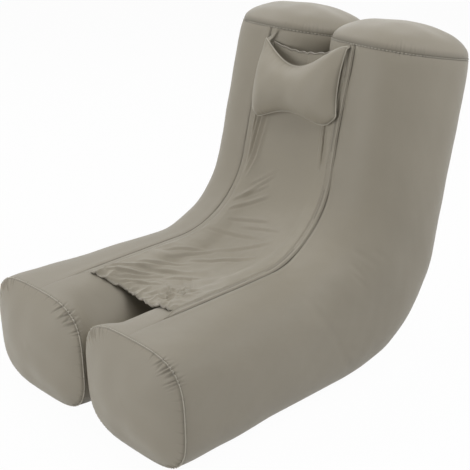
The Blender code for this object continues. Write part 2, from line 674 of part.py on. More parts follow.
def main():
    for existing in list(bpy.data.objects):
        bpy.data.objects.remove(existing)
    fabric = material("cover nylon", (0.288, 0.262, 0.217), 0.62)
    sling_fabric = material("sling nylon", (0.280, 0.254, 0.210), 0.62)
    trim = material("bound seam", (0.330, 0.300, 0.250), 0.60)
    elastic = material("hem elastic", (0.300, 0.272, 0.226), 0.70)
    film = material("bladder film", (0.160, 0.155, 0.150), 0.35)
    plastic = material("valve plastic", (0.240, 0.220, 0.185), 0.45)
    rubber = material("flap rubber", (0.050, 0.050, 0.050), 0.55)
    metal = material("slider metal", (0.420, 0.410, 0.400), 0.35, metallic=1.0)
    wadding = material("wadding", (0.750, 0.740, 0.700), 0.90)
    for name, side in SIDES.items():
        tube(name, side, (fabric, trim, film, plastic, rubber, metal))
    sling(sling_fabric, elastic)
    join_strip(trim)
    pillow(fabric, trim, wadding)


def depth_middle():
    """The middle of the object from front to back: the foot panel's tip and the rear of the top piping."""
    foot_across = inner_profile(0.0) - outer_profile(0.0)
    tip = outer_profile(0.0) + foot_across / 2
    along = np.array([foot_across[1], -foot_across[0]]) / np.linalg.norm(foot_across)
    front = tip[0] - along[0] * (FOOT_DOME[0] + PIPING_RADIUS + FABRIC_GAP + COVER_WALL)
    rear = outer_profile(3.0)[0] - DRAW_IN + PIPING_LIFT + PIPING_RADIUS
    return (front + rear) / 2


Y_MIDDLE = depth_middle()
main()
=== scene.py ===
# %% [markdown]
# # An inflatable lounge sofa
#
# Two L-shaped air tubes lie side by side in sewn nylon covers. A sling of thinner nylon is sewn between
# them, gathered by elastic at its front edge, and a bow-tie pillow hangs at the head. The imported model
# holds the structure. This notebook loads it as a fixed frame and then works out every surface again with
# numpy, at a grain fine enough for puckers and folds, and gives each piece its cloth, film, plastic or
# metal.

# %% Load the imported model
import math

import bpy
import numpy as np
from mathutils import Matrix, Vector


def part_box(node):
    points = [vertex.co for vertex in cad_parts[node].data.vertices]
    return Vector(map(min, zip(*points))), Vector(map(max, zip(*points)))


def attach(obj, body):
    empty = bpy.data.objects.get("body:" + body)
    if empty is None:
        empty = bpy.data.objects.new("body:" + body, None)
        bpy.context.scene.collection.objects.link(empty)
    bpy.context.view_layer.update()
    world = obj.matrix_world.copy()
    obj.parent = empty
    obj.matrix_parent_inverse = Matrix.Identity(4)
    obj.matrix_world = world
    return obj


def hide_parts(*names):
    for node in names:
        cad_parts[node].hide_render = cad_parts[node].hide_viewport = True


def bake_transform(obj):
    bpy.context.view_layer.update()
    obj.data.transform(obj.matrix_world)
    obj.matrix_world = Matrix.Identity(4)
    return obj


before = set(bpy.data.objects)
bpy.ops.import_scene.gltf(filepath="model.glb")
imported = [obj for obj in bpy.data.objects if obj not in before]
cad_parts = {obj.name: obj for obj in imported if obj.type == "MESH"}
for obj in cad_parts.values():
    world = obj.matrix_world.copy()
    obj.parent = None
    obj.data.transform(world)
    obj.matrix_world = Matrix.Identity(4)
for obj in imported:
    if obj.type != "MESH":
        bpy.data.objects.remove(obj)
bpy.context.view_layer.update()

# %% [markdown]
# ## The lines that everything follows
#
# A tube is a soft square section carried along two lines in the side view. The outer line lies on the
# floor, bends and climbs the back. The inner line is the one that the sitter leans on. A place along the
# tube is called its station: 0 at the foot seam, 1 at the start of the bend, 2 at its end and 3 at the top
# seam.

# %% Sizes of the tubes, in metres
SEAT_RUN, BEND_RADIUS, RECLINE, BACK_RUN = 0.616, 0.328, math.radians(75.9), 0.548
FOOT_HEIGHT, SEAT_RISE, FOOT_TILT = 0.301, math.radians(2.9), math.radians(1.92)
TOP_DEPTH, BACK_TAPER, TOP_TILT, CROOK_RADIUS = 0.355, math.radians(2.9), math.radians(2.4), 0.248
WIDTH_AT = ((0.0, 1.0, 2.0, 3.0), (0.370, 0.323, 0.331, 0.322))
SQUARENESS_AT = ((0.0, 0.45, 1.5, 3.0), (3.4, 3.1, 2.8, 2.5))
TUBE_GAP, FLOOR_CUT = 0.006, 0.0005
DRAW_IN, DRAW_LENGTH = 0.004, 0.020
FOOT_DOME, TOP_DOME = (0.041, 0.74), (0.070, 0.50)
SLING_SEAM_AT = ((0.0, 1.0, 1.4, 2.0, 2.4, 3.0), (0.178, 0.176, 0.168, 0.164, 0.162, 0.148))
SEAM_SHIFT, SHIFT_START, SHIFT_RUN = 0.018, 2.25, 0.7
INNER_SHOULDER, SHOULDER_FROM_FOOT, SHOULDER_FROM_TOP = 2.1, 0.12, 0.25
COVER_WALL, FILM_WALL, TAPE_WALL = 0.0008, 0.0005, 0.0007
JOIN_ANGLE = math.radians(190)
JOIN_START = JOIN_ANGLE - 2 * math.pi
PIPING_RADIUS = 0.0020
SIDES = {"left": 1, "right": -1}


# %% The two lines in the side view
def line_arc_line(start, heading, first, radius, turn, second, station):
    """A line of length first, an arc of radius radius, and a line of length second. Station 0 to 1 is on
    the first line, 1 to 2 on the arc and 2 to 3 on the last line. Returns (y, z) for every station."""
    station = np.asarray(station, float)
    run = np.clip(station, 0, 1) * first
    angle = heading + np.clip(station - 1, 0, 1) * turn
    back = np.clip(station - 2, 0, 1) * second
    y = start[0] + run * math.cos(heading) + radius * (np.sin(angle) - math.sin(heading))
    z = start[1] + run * math.sin(heading) - radius * (np.cos(angle) - math.cos(heading))
    return np.stack([y + back * math.cos(heading + turn), z + back * math.sin(heading + turn)], axis=-1)


def outer_line(station):
    return line_arc_line((0.0, 0.0), 0.0, SEAT_RUN, BEND_RADIUS, RECLINE, BACK_RUN, station)


def fit_inner_line():
    """Both straight lengths of the inner line: its two lines start and end at given places, and the arc
    between them takes radius tan(turn / 2) off each."""
    start = FOOT_HEIGHT * np.array([-math.sin(FOOT_TILT), math.cos(FOOT_TILT)])
    across = RECLINE + math.pi / 2 + TOP_TILT
    end = outer_line(3.0) + TOP_DEPTH * np.array([math.cos(across), math.sin(across)])
    heading = RECLINE + BACK_TAPER
    seat = np.array([math.cos(SEAT_RISE), math.sin(SEAT_RISE)])
    back = np.array([math.cos(heading), math.sin(heading)])
    along_seat, along_back = np.linalg.solve(np.column_stack([seat, back]), end - start)
    turn = heading - SEAT_RISE
    tangent = CROOK_RADIUS * math.tan(turn / 2)
    return start, along_seat - tangent, along_back - tangent, turn


INNER_START, INNER_SEAT, INNER_BACK, CROOK_TURN = fit_inner_line()
INNER_LENGTHS = np.cumsum([0.0, INNER_SEAT, CROOK_RADIUS * CROOK_TURN, INNER_BACK])
Y_MIDDLE = outer_line(3.0)[0] + 0.0008 + PIPING_RADIUS - DRAW_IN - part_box("left_top_piping")[1].y


def inner_line(station):
    return line_arc_line(INNER_START, SEAT_RISE, INNER_SEAT, CROOK_RADIUS, CROOK_TURN, INNER_BACK, station)


def station_at(distance):
    """The station at a distance along the inner line from the foot seam."""
    return np.interp(distance, INNER_LENGTHS, (0, 1, 2, 3))


# %% [markdown]
# ## A point on the cover
#
# A blown-up cover is neither round nor square, so its section is a superellipse: |x|^n + |z|^n = 1, where n
# is 2 for an ellipse and grows towards a rectangle. The foot end is held square by its sewn panel, so n is
# largest there.


# %% The section and a point on it
def section(station):
    """Middle (y, z), direction from the outer to the inner line, depth, width and squareness at a
    station."""
    station = np.asarray(station, float)
    outer = outer_line(station)
    across = inner_line(station) - outer
    depth = np.linalg.norm(across, axis=-1)
    return (
        outer + across / 2,
        across / depth[..., None],
        depth,
        np.interp(station, *WIDTH_AT),
        np.interp(station, *SQUARENESS_AT),
    )


def end_distance(station):
    """Distance along the tube from the foot seam and from the top seam."""
    station = np.asarray(station, float)
    return np.clip(station, 0, 1) * SEAT_RUN, np.clip(3 - station, 0, 1) * BACK_RUN


def drawn_in(station):
    from_foot, from_top = end_distance(station)
    return DRAW_IN * (np.exp(-from_foot / DRAW_LENGTH) + np.exp(-from_top / DRAW_LENGTH))


def ease(share):
    """0 up to 0 and 1 from 1 on, with a smooth rise between them."""
    share = np.clip(share, 0, 1)
    return share * share * (3 - 2 * share)


def bell(distance, width):
    """A bell curve: exp(-(distance / width)^2)."""
    return np.exp(-((distance / width) ** 2))


def circle(count):
    """Angles of even steps once round."""
    return np.linspace(0, 2 * math.pi, count, endpoint=False)


def superellipse(angle, power):
    """Distance from the middle to the curve |x|^n + |z|^n = 1 at an angle."""
    return (np.abs(np.cos(angle)) ** power + np.abs(np.sin(angle)) ** power) ** (-1 / power)


def shoulder(power, angle, station):
    """The squareness at an angle: the quarter that faces the other tube and the sitter is rounder, because
    the sling pulls it in. The change is greatest at 135 degrees, and it fades out at both end seams."""
    share = np.where(np.sin(angle) > 0, np.clip(-np.sin(2 * angle), 0, 1), 0.0)
    share = share * ease(station / SHOULDER_FROM_FOOT) * ease((3 - station) / SHOULDER_FROM_TOP)
    return power + (INNER_SHOULDER - power) * share


def tube_point(side, station, angle, lift=0.0, scale=1.0, push=0.0):
    """The point at an angle round the section, 0 on the outside and 90 degrees towards the sitter. lift
    moves it off the surface, scale shrinks the section about its middle, and push moves the section along
    the tube. The floor flattens whatever would sink into it."""
    station = np.asarray(station, float)
    station, angle, lift, scale, push = np.broadcast_arrays(station, angle, lift, scale, push)
    middle, across, depth, width, power = section(station)
    power = shoulder(power, angle, station)
    reach = superellipse(angle, power)
    lift = lift - drawn_in(station)
    x = TUBE_GAP + width / 2 + np.cos(angle) * reach * (width / 2 + lift) * scale
    height = np.sin(angle) * reach * (depth / 2 + lift) * scale
    along = np.stack([across[..., 1], -across[..., 0]], axis=-1)
    yz = middle + across * height[..., None] + along * push[..., None]
    floor = np.maximum(yz[..., 1] - FLOOR_CUT, 0.0)
    return np.stack([side * x, yz[..., 0] - Y_MIDDLE, floor], axis=-1)


def seam_distance(side, station):
    """Distance of a sling seam from the middle plane: the table's mean over nearby stations, which rounds
    its corners. Near the top the whole sling has been pulled a little towards the sitter's left."""
    near = [np.interp(station + step, *SLING_SEAM_AT) for step in (-0.24, -0.12, 0.0, 0.12, 0.24)]
    return np.mean(near, axis=0) + side * SEAM_SHIFT * ease((station - SHIFT_START) / SHIFT_RUN)


def seam_angle(side, station, beyond=0.0):
    """The angle of the sling seam on the section, or of a line beyond it towards the middle plane."""
    station = np.asarray(station, float)
    *_rest, width, power = section(station)
    x = seam_distance(side, station) - beyond
    share = np.clip((x - TUBE_GAP - width / 2) / (width / 2), -0.999, 0.999)
    return np.arctan2((1 - np.abs(share) ** power) ** (1 / power), share)


# %% [markdown]
# ## Meshes from arrays
#
# A surface here is a grid of points: one array with a row and a column index. Joining each point to its
# neighbours gives quads, and all of them are made at once from an array of indices. The UV map is in metres
# of cloth, so a weave drawn on it has the same thread everywhere.


# %% Grids, cords and rows of small pieces
def link(name, vertices, faces, uv=None, seam=None):
    """An object from arrays of vertices and of faces, shaded smooth, with UVs for each face corner."""
    mesh = bpy.data.meshes.new(name)
    mesh.from_pydata(np.asarray(vertices).reshape(-1, 3).tolist(), [], faces)
    if uv is not None:
        mesh.uv_layers.new(name="UVMap").data.foreach_set("uv", np.asarray(uv, np.float32).ravel())
    # seam: how much painted shade the material puts at each point
    if seam is not None:
        values = np.asarray(seam, np.float32).ravel()
        mesh.attributes.new("seam", "FLOAT", "POINT").data.foreach_set("value", values)
    mesh.shade_smooth()
    piece = bpy.data.objects.new(name, mesh)
    bpy.context.scene.collection.objects.link(piece)
    return piece


def arc_lengths(points, axis):
    """Running length of the lines of a grid, along one of its axes."""
    steps = np.linalg.norm(np.diff(points, axis=axis), axis=-1)
    first = np.zeros_like(np.take(steps, [0], axis=axis))
    return np.cumsum(np.concatenate([first, steps], axis=axis), axis=axis)


def corners(values):
    """The four corners of every cell of a grid."""
    return np.stack([values[:-1, :-1], values[1:, :-1], values[1:, 1:], values[:-1, 1:]], axis=2)


def grid(name, points, ring=False, loop=False, caps=(False, False), flip=False, uv=None, seam=0.0, hole=None):
    """Quads over points[row, column]. ring joins the last column to the first and loop the last row to the
    first. caps closes the first or the last row with a fan to its middle. hole works as in banded."""
    rows, columns = points.shape[:2]
    index = np.arange(rows * columns).reshape(rows, columns)
    laid = points
    if ring:
        index, laid = np.hstack([index, index[:, :1]]), np.concatenate([laid, laid[:, :1]], axis=1)
    if loop:
        index, laid = np.vstack([index, index[:1]]), np.concatenate([laid, laid[:1]])
    if uv is None:
        uv = np.stack([arc_lengths(laid, 1), arc_lengths(laid, 0)], axis=-1)
    order = (0, 3, 2, 1) if flip else (0, 1, 2, 3)
    quads, vertices = corners(index).reshape(-1, 4)[:, order], [points.reshape(-1, 3)]
    kept = np.full(len(quads), True)
    if hole:
        vertices[0], inside = hole(vertices[0])
        kept = ~inside[quads].all(axis=1)
    faces = quads[kept].tolist()
    corner_uv = [corners(uv).reshape(-1, 4, 2)[kept][:, order].reshape(-1, 2)]
    values = [np.broadcast_to(seam, (rows, columns)).ravel()]
    for row, wanted in ((0, caps[0]), (-1, caps[1])):
        if not wanted:
            continue
        tip = rows * columns + len(vertices) - 1
        line, edge = index[row], uv[row]
        turned = (0, 1, 2) if (row == 0) != flip else (0, 2, 1)
        fan = np.stack([np.full(len(line) - 1, tip), line[:-1], line[1:]], axis=1)
        fan_uv = np.stack([np.broadcast_to(edge.mean(axis=0), edge[1:].shape), edge[:-1], edge[1:]], axis=1)
        faces += fan[:, turned].tolist()
        corner_uv.append(fan_uv[:, turned].reshape(-1, 2))
        vertices.append(points[row].mean(axis=0)[None])
        values.append(values[0].reshape(rows, columns)[row].mean()[None])
    return link(name, np.concatenate(vertices), faces, np.concatenate(corner_uv), np.concatenate(values))


def banded(name, blocks, ring=False, cap=False, flip=False, hole=None):
    """Blocks of rows joined into one surface. A block has either all the columns or every fourth of them,
    and where the two kinds meet, each wide face closes onto four narrow ones. A block is (points, uv,
    seam). hole moves the vertices near its rim onto it and tells which are inside, and the faces inside are
    left out."""
    indices, count = [], 0
    for points, _uv, _seam in blocks:
        index = count + np.arange(points.shape[0] * points.shape[1]).reshape(points.shape[:2])
        count += index.size
        indices.append(np.hstack([index, index[:, :1]]) if ring else index)
    faces = [corners(index).reshape(-1, 4) for index in indices]
    for low, high in zip(indices, indices[1:]):
        a, b = low[-1], high[0]
        if len(a) > len(b):
            joined = [a[:-1:4], b[:-1], b[1:], a[4::4], a[3::4], a[2::4], a[1::4]]
        else:
            joined = [a[:-1], b[:-1:4], b[1::4], b[2::4], b[3::4], b[4::4], a[1:]]
        faces.append(np.stack(joined, axis=1))
    vertices = [points.reshape(-1, 3) for points, _uv, _seam in blocks]
    if hole:
        moved, inside = hole(np.concatenate(vertices))
        vertices = [moved]
        faces = [face[~inside[face].all(axis=1)] for face in faces]
    uvs = [uv.reshape(-1, 2) for _points, uv, _seam in blocks]
    seams = [seam.ravel() for _points, _uv, seam in blocks]
    if cap:
        line = indices[-1][-1]
        faces.append(np.stack([np.full(len(line) - 1, count), line[1:], line[:-1]], axis=1))
        vertices.append(blocks[-1][0][-1].mean(axis=0)[None])
        uvs.append(blocks[-1][1][-1].mean(axis=0)[None])
        seams.append(np.zeros(1))
    if flip:
        faces = [face[:, ::-1] for face in faces]
    used = np.concatenate([face.ravel() for face in faces])
    listed = [corner for face in faces for corner in face.tolist()]
    return link(name, np.concatenate(vertices), listed, np.concatenate(uvs)[used], np.concatenate(seams))


def wall(piece, thickness):
    """Gives a sheet its thickness, on its inner side."""
    solid = piece.modifiers.new("wall", "SOLIDIFY")
    solid.thickness = thickness
    solid.offset = -1
    return piece


def spread(density, count):
    """Values from 0 to 1, closer together where the density, which is given at even steps, is higher."""
    total = np.concatenate([[0.0], np.cumsum((density[1:] + density[:-1]) / 2)])
    return np.interp(np.linspace(0, total[-1], count), total, np.linspace(0, 1, len(density)))


def unit(vectors):
    return vectors / np.maximum(np.linalg.norm(vectors, axis=-1, keepdims=True), 1e-12)


def directions(path, normal, closed=False):
    """Tangent, sideways and upright directions along a path whose rough normal is known at each point."""
    tangent = np.gradient(path, axis=0)
    if closed:
        tangent = np.roll(path, -1, axis=0) - np.roll(path, 1, axis=0)
    tangent = unit(tangent)
    sideways = unit(np.cross(tangent, normal))
    return tangent, sideways, np.cross(sideways, tangent)


def cord(name, path, normal, radius, sides=10, closed=False, seam=0.0):
    """A round cord: a circle of the given radius carried along the path, square to it."""
    path, normal = np.asarray(path, float), np.broadcast_to(normal, np.shape(path))
    sideways, upright = directions(path, normal, closed)[1:]
    turn = circle(sides)
    radius = np.broadcast_to(radius, len(path))[:, None, None]
    rings = path[:, None] + radius * (
        np.cos(turn)[None, :, None] * sideways[:, None] + np.sin(turn)[None, :, None] * upright[:, None]
    )
    return grid(name, rings, ring=True, loop=closed, caps=(not closed, not closed), seam=seam)


def repeated(name, template, faces, places, tangent, sideways, upright):
    """One small shape at many places: vertex = place + its x along the path, y sideways and z upright."""
    laid = (
        places[:, None]
        + template[None, :, 0:1] * tangent[:, None]
        + template[None, :, 1:2] * sideways[:, None]
        + template[None, :, 2:3] * upright[:, None]
    )
    first = len(template) * np.arange(len(places))[:, None, None]
    return link(name, laid, (np.asarray(faces)[None] + first).reshape(-1, 4).tolist())


def bead(profile, sides, wide, tall):
    """A small solid along x, an ellipse for every (x, size, rise) of its profile: vertices and faces."""
    y, z = np.cos(circle(sides)), np.sin(circle(sides))
    rings = [
        np.stack([np.full(sides, x), size * wide * y, tall * (size * z + rise)], axis=-1)
        for x, size, rise in profile
    ]
    index = np.arange(len(profile) * sides).reshape(len(profile), sides)
    fan = np.array([[0, corner, corner + 1, corner + 2] for corner in range(1, sides - 2, 2)])
    faces = corners(np.hstack([index, index[:, :1]])).reshape(-1, 4)
    return np.concatenate(rings), np.concatenate([faces, fan, index[-1, 0] + fan[:, ::-1]])


STITCH_PITCH, STITCH_LENGTH, THREAD_RADIUS = 0.0050, 0.0036, 0.00045
STITCH_ROWS = ((-0.5, 0.35, -0.4), (-0.3, 0.9, 0.3), (0.0, 1.0, 0.5), (0.3, 0.9, 0.3), (0.5, 0.35, -0.4))
STITCH = bead(
    [(share * STITCH_LENGTH, size, rise) for share, size, rise in STITCH_ROWS],
    sides=6,
    wide=THREAD_RADIUS,
    tall=THREAD_RADIUS,
)


def stitches(name, path, normal):
    """A row of thread stitches: six-sided beads, fat in the middle and thin where they enter the cloth."""
    path, normal = np.asarray(path, float), np.broadcast_to(normal, np.shape(path))
    run = arc_lengths(path, 0)
    at = np.arange(STITCH_PITCH / 2, run[-1] - STITCH_PITCH / 2, STITCH_PITCH)
    places = np.stack([np.interp(at, run, path[:, k]) for k in range(3)], axis=-1)
    outward = np.stack([np.interp(at, run, normal[:, k]) for k in range(3)], axis=-1)
    return repeated(name, *STITCH, places, *directions(places, outward))


# %% [markdown]
# ## Materials
#
# The covers are plain-woven nylon with a thin coating, which gives a dull satin. Their look comes from
# three things: a weave so fine that it only shows close to, a slow drift of tone where the cloth has been
# folded, and painted shade in the valleys beside the seams and in the puckers, carried by a value called
# seam.


# %% Shader arithmetic written as Python
class Socket:
    """A node's output that takes part in sums: a * b adds a Math node and returns its output."""

    def __init__(self, graph, output):
        self.graph, self.output = graph, output

    def math(self, operation, *others):
        inputs = dict(enumerate((self, *others)))
        return self.graph.node("ShaderNodeMath", {"operation": operation}, inputs)

    def __add__(self, other):
        return self.math("ADD", other)

    def __mul__(self, other):
        return self.math("MULTIPLY", other)


class Graph:
    """A node tree that grows node by node."""

    def __init__(self, tree):
        self.tree = tree

    def node(self, kind, settings=(), inputs=(), output=0):
        """Adds a node: its type, its settings, and the values or links of its inputs."""
        made = self.tree.nodes.new(kind)
        for key, value in dict(settings).items():
            setattr(made, key, value)
        for key, value in dict(inputs).items():
            if isinstance(value, Socket):
                self.tree.links.new(value.output, made.inputs[key])
            else:
                made.inputs[key].default_value = value
        return Socket(self, made.outputs[output])


class Finish(Graph):
    """A material and its nodes."""

    def __init__(self, name, **constants):
        self.material = bpy.data.materials.new(name)
        self.material.use_nodes = True
        super().__init__(self.material.node_tree)
        self.shader = self.tree.nodes["Principled BSDF"]
        for socket, value in constants.items():
            self.shader.inputs[socket.replace("_", " ")].default_value = value

    def mix(self, share, first, second):
        """A colour between two others."""
        inputs = {"Factor": share, 6: first, 7: second}
        return self.node("ShaderNodeMix", {"data_type": "RGBA"}, inputs, output=2)

    def noise(self, place, scale, detail=3.0):
        return self.node("ShaderNodeTexNoise", {}, {"Vector": place, "Scale": scale, "Detail": detail})

    def bump(self, height, strength, distance, normal=None):
        inputs = {"Height": height, "Strength": strength, "Distance": distance}
        if normal is not None:
            inputs["Normal"] = normal
        return self.node("ShaderNodeBump", {}, inputs)

    def set(self, **links):
        for socket, value in links.items():
            self.tree.links.new(value.output, self.shader.inputs[socket.replace("_", " ")])
        return self.material


def shade(colour, factor):
    return (*(min(1.0, channel * factor) for channel in colour), 1.0)


# %% Woven nylon
def woven(name, colour, thread, rough, crumple, dark=0.70):
    """Plain weave: the height is sin(u) sin(v), so threads pass over and under by turns. A coarse noise
    drifts the tone, a finer one crumples the surface, and the seam value paints shade into the valleys."""
    finish = Finish(name, Sheen_Weight=0.15, Sheen_Roughness=0.45, Specular_IOR_Level=0.42)
    uv = finish.node("ShaderNodeUVMap", {"uv_map": "UVMap"})
    place = finish.node("ShaderNodeTexCoord", output="Object")
    turns = 2 * math.pi / thread
    across, down = (
        (finish.node("ShaderNodeSeparateXYZ", {}, {"Vector": uv}, axis) * turns).math("SINE") for axis in "XY"
    )
    weave = across * down
    drift = finish.noise(place, 7.0)
    fine = finish.noise(place, 46.0, 4.0)
    valley = finish.node("ShaderNodeAttribute", {"attribute_name": "seam"}, output="Fac")
    tone = finish.mix(drift, shade(colour, 0.93), shade(colour, 1.07))
    threads = finish.mix(weave * 0.5 + 0.5, shade(colour, 0.90), shade(colour, 1.10))
    cloth = finish.mix(0.35, tone, threads)
    # painted shade: the seam value mixes the colour towards colour times dark
    base = finish.mix(valley, cloth, shade(colour, dark))
    soft = finish.bump(fine, 0.35, crumple)
    return finish.set(
        Base_Color=base,
        Roughness=drift * 0.10 + (rough - 0.05),
        Normal=finish.bump(weave, 0.25, 0.00008, soft),
    )


GREY_TAUPE = (0.300, 0.270, 0.213)
SLING_TAUPE = tuple(1.07 * part for part in GREY_TAUPE)
cover_nylon = woven("cover nylon", GREY_TAUPE, 0.0007, 0.56, 0.0010)
sling_nylon = woven("sling nylon", SLING_TAUPE, 0.0006, 0.58, 0.0012)
pillow_nylon = woven("pillow nylon", SLING_TAUPE, 0.0006, 0.56, 0.0008)
seam_tape = woven("seam tape", (0.325, 0.294, 0.234), 0.0009, 0.60, 0.0004)
# the piping's painted shade goes down to 0.36 of its colour
piping_cloth = woven("piping cloth", (0.460, 0.425, 0.352), 0.0007, 0.58, 0.0002, dark=0.36)
elastic_casing = woven("elastic casing", (0.305, 0.278, 0.231), 0.0006, 0.62, 0.0010)
zip_webbing = woven("zip webbing", (0.230, 0.208, 0.170), 0.0011, 0.66, 0.0004)


# %% [markdown]
# Thread, moulded plastic, film, rubber, cast metal and fibre filling each get one small recipe. They are
# seen from close by or only when a cap is opened, so a fine grain in the roughness and a little bump are
# enough.


# %% Plain finishes
def grained(name, colour, rough, scale, depth, metallic=0.0, **constants):
    """A noise that moves the colour and the roughness a little, and raises a grain of the given depth."""
    finish = Finish(name, Metallic=metallic, **constants)
    place = finish.node("ShaderNodeTexCoord", output="Object")
    grain = finish.noise(place, scale, 4.0)
    broad = finish.noise(place, scale / 12)
    return finish.set(
        Base_Color=finish.mix(broad, shade(colour, 0.92), shade(colour, 1.08)),
        Roughness=grain * 0.12 + (rough - 0.06),
        Normal=finish.bump(grain, 0.4, depth),
    )


thread = grained("seam thread", (0.40, 0.37, 0.315), 0.62, 1500.0, 0.00008, Sheen_Weight=0.2)
moulded = grained("moulded plastic", (0.235, 0.214, 0.178), 0.42, 900.0, 0.00004)
film = grained("bladder film", (0.150, 0.146, 0.140), 0.34, 60.0, 0.0006, Coat_Weight=0.25)
rubber = grained("flap rubber", (0.030, 0.030, 0.030), 0.55, 700.0, 0.00005)
cast_metal = grained("cast slider metal", (0.46, 0.45, 0.43), 0.34, 1200.0, 0.00003, metallic=1.0)
fibre = grained("fibre filling", (0.72, 0.71, 0.67), 0.90, 180.0, 0.0016, Sheen_Weight=0.4)
teeth_plastic = grained("zip teeth", (0.215, 0.196, 0.160), 0.36, 1400.0, 0.00003)


# %% Dressing a piece
def dress(piece, coat, body, slot, *nodes):
    """Gives a piece its material and its body, and hides the CAD nodes that it stands for. The slot is not
    used.
    """
    piece.data.materials.append(coat)
    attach(piece, body)
    if nodes:
        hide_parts(*nodes)
    return piece


# %% [markdown]
# ## Where the valve and the zip sit
#
# Each tube has an air valve and a zip on its back. Both are laid out in a frame of their own: x across, y
# up the back and z away from it. The cover is kept flat there, and a round hole is opened for the neck of
# the valve.


# %% Frames on the back, and round holes
VALVE_HEIGHT, ZIP_START, ZIP_LENGTH = 0.400, 0.030, 0.300
COVER_HOLE, BLADDER_HOLE = (0.0178, 0.0048), (0.0140, 0.0034)
FLAT_BESIDE_ZIP, FLAT_BEYOND_ZIP, FLAT_ROUND_VALVE, FLAT_FADE = 0.016, 0.004, 0.026, 0.02


def back_mount(side, height):
    """The frame at a height up the back of a tube: its three axes as columns, and its origin."""
    up = np.array([0.0, math.cos(RECLINE), math.sin(RECLINE)])
    foot = outer_line(2.0)
    middle = side * (TUBE_GAP + np.interp(2.5, *WIDTH_AT) / 2)
    origin = np.array([middle, foot[0] - Y_MIDDLE, foot[1] - FLOOR_CUT]) + up * height
    return np.column_stack([(-1.0, 0.0, 0.0), up, (0.0, up[2], -up[1])]), origin


def in_mount(points, mount):
    axes, origin = mount
    return (points - origin) @ axes


def from_mount(points, mount):
    axes, origin = mount
    return points @ axes.T + origin


def round_hole(mount, radius, snap):
    """Vertices within snap of the circle move onto it along their radius. Those on it or nearer are inside.
    A cell stays if any of its corners is outside, so on a coarse grid the rim isn't quite round."""

    def opened(vertices):
        local = in_mount(vertices, mount)
        away = np.hypot(local[:, 0], local[:, 1])
        close = np.abs(local[:, 2]) < 0.03
        onto = close & (np.abs(away - radius) < snap)
        local[onto, :2] *= (radius / away[onto])[:, None]
        inside = close & ((away < radius) | onto)
        return from_mount(local, mount), inside

    return opened


def kept_flat(side, points):
    """1 under the valve and the zip tape, and 0 a few centimetres away from them."""
    valve = in_mount(points, back_mount(side, VALVE_HEIGHT))
    zip_place = in_mount(points, back_mount(side, ZIP_START))
    beside = np.maximum(np.abs(zip_place[..., 0]) - FLAT_BESIDE_ZIP, 0)
    beyond = np.maximum(np.abs(zip_place[..., 1] - ZIP_LENGTH / 2) - ZIP_LENGTH / 2 - FLAT_BEYOND_ZIP, 0)
    near_zip = bell(np.hypot(beside, beyond), FLAT_FADE)
    near_valve = bell(np.maximum(np.hypot(valve[..., 0], valve[..., 1]) - FLAT_ROUND_VALVE, 0), FLAT_FADE)
    return np.maximum(near_zip, near_valve) * (np.abs(valve[..., 2]) < 0.05)


# %% [markdown]
# ## Puckers, valleys and drifts
#
# Where a flat panel is sewn to a tube that turns a corner, the longer edge is eased into the shorter one.
# The spare cloth stands up in short narrow creases that die out two or three centimetres from the seam,
# most of them at the corners of the section. A crease is a narrow valley, and its depth falls off like a
# bell curve both across and along it.


# %% Height of the cover over its smooth form
def crease(gap):
    """A narrow valley with a low ridge at each side, over the distance d from its middle in its own widths:
    0.5 exp(-((d - 1.6) / 0.8)^2) - exp(-d^2)."""
    return 0.5 * bell(gap - 1.6, 0.8) - np.exp(-gap * gap)


def creases(across, away, pucker):
    """Creases that run away from a seam: depth crease(gap / width) exp(-(away / length)^2)."""
    across, away = np.broadcast_arrays(across, away)
    total = np.zeros(across.shape)
    for place, width, length, depth, slant in pucker:
        total += depth * crease(np.abs(across - place - slant * away) / width) * bell(away, length)
    return total


def girth_table(station):
    """Angles round a section and the distance round it at each, from the join seam on."""
    angle = np.linspace(JOIN_START, JOIN_ANGLE, 1441)
    points = tube_point(1, station, angle)
    return angle, arc_lengths(points, 0)


def puckers(end, seed):
    """Places, widths, lengths, depths and slants of the creases round an end seam. They crowd at its
    corners, where they are also longer and deeper, most of all at the two upper ones."""
    random = np.random.default_rng(seed)
    angle, girth = girth_table(0.0 if end == "foot" else 3.0)
    count, long, deep = (54, 1.0, 1.0) if end == "foot" else (52, 0.25, 0.34)
    from_corner = (np.degrees(angle) + 360) % 90 - 45
    crowd = np.cumsum(0.30 + bell(from_corner, 15))
    share = (np.arange(count) + random.uniform(0.1, 0.9, count)) / count
    place = np.interp(share, crowd / crowd[-1], girth)
    upper = np.where(np.sin(angle) > 0, 1.0, 0.3)
    corner = long * np.interp(place, girth, upper * bell(from_corner, 17))
    width = random.uniform(0.0014, 0.0026, count) + 0.0010 * corner
    length = random.uniform(0.006, 0.012, count) * (0.5 + 0.5 * long)
    length = length + corner * random.uniform(0.006, 0.020, count)
    depth = deep * random.uniform(0.0006, 0.0014, count) + corner * random.uniform(0.0010, 0.0030, count)
    slant = random.uniform(-0.30, 0.30, count)
    return np.stack([place, width, length, depth, slant], axis=1)


def drift(u, v, wavelength, seed, count=10):
    """A smooth wandering height: plane waves of about one wavelength in scattered directions, added up and
    divided by the root of their number."""
    random = np.random.default_rng(seed)
    total = 0.0
    ranges = ((0, math.pi), (0, 2 * math.pi), (0.7, 1.4))
    for heading, phase, stretch in zip(*(random.uniform(low, high, count) for low, high in ranges)):
        wave = 2 * math.pi / (wavelength * stretch)
        total = total + np.cos(wave * (u * math.cos(heading) + v * math.sin(heading)) + phase)
    return total / math.sqrt(count)


PUCKERS = {
    (name, end): puckers(end, 10 * index + seed)
    for index, name in enumerate(SIDES)
    for end, seed in (("foot", 1), ("top", 2))
}
GIRTHS = {"foot": girth_table(0.0), "top": girth_table(3.0)}


def girth_at(end, angle):
    return np.interp(angle, *GIRTHS[end])
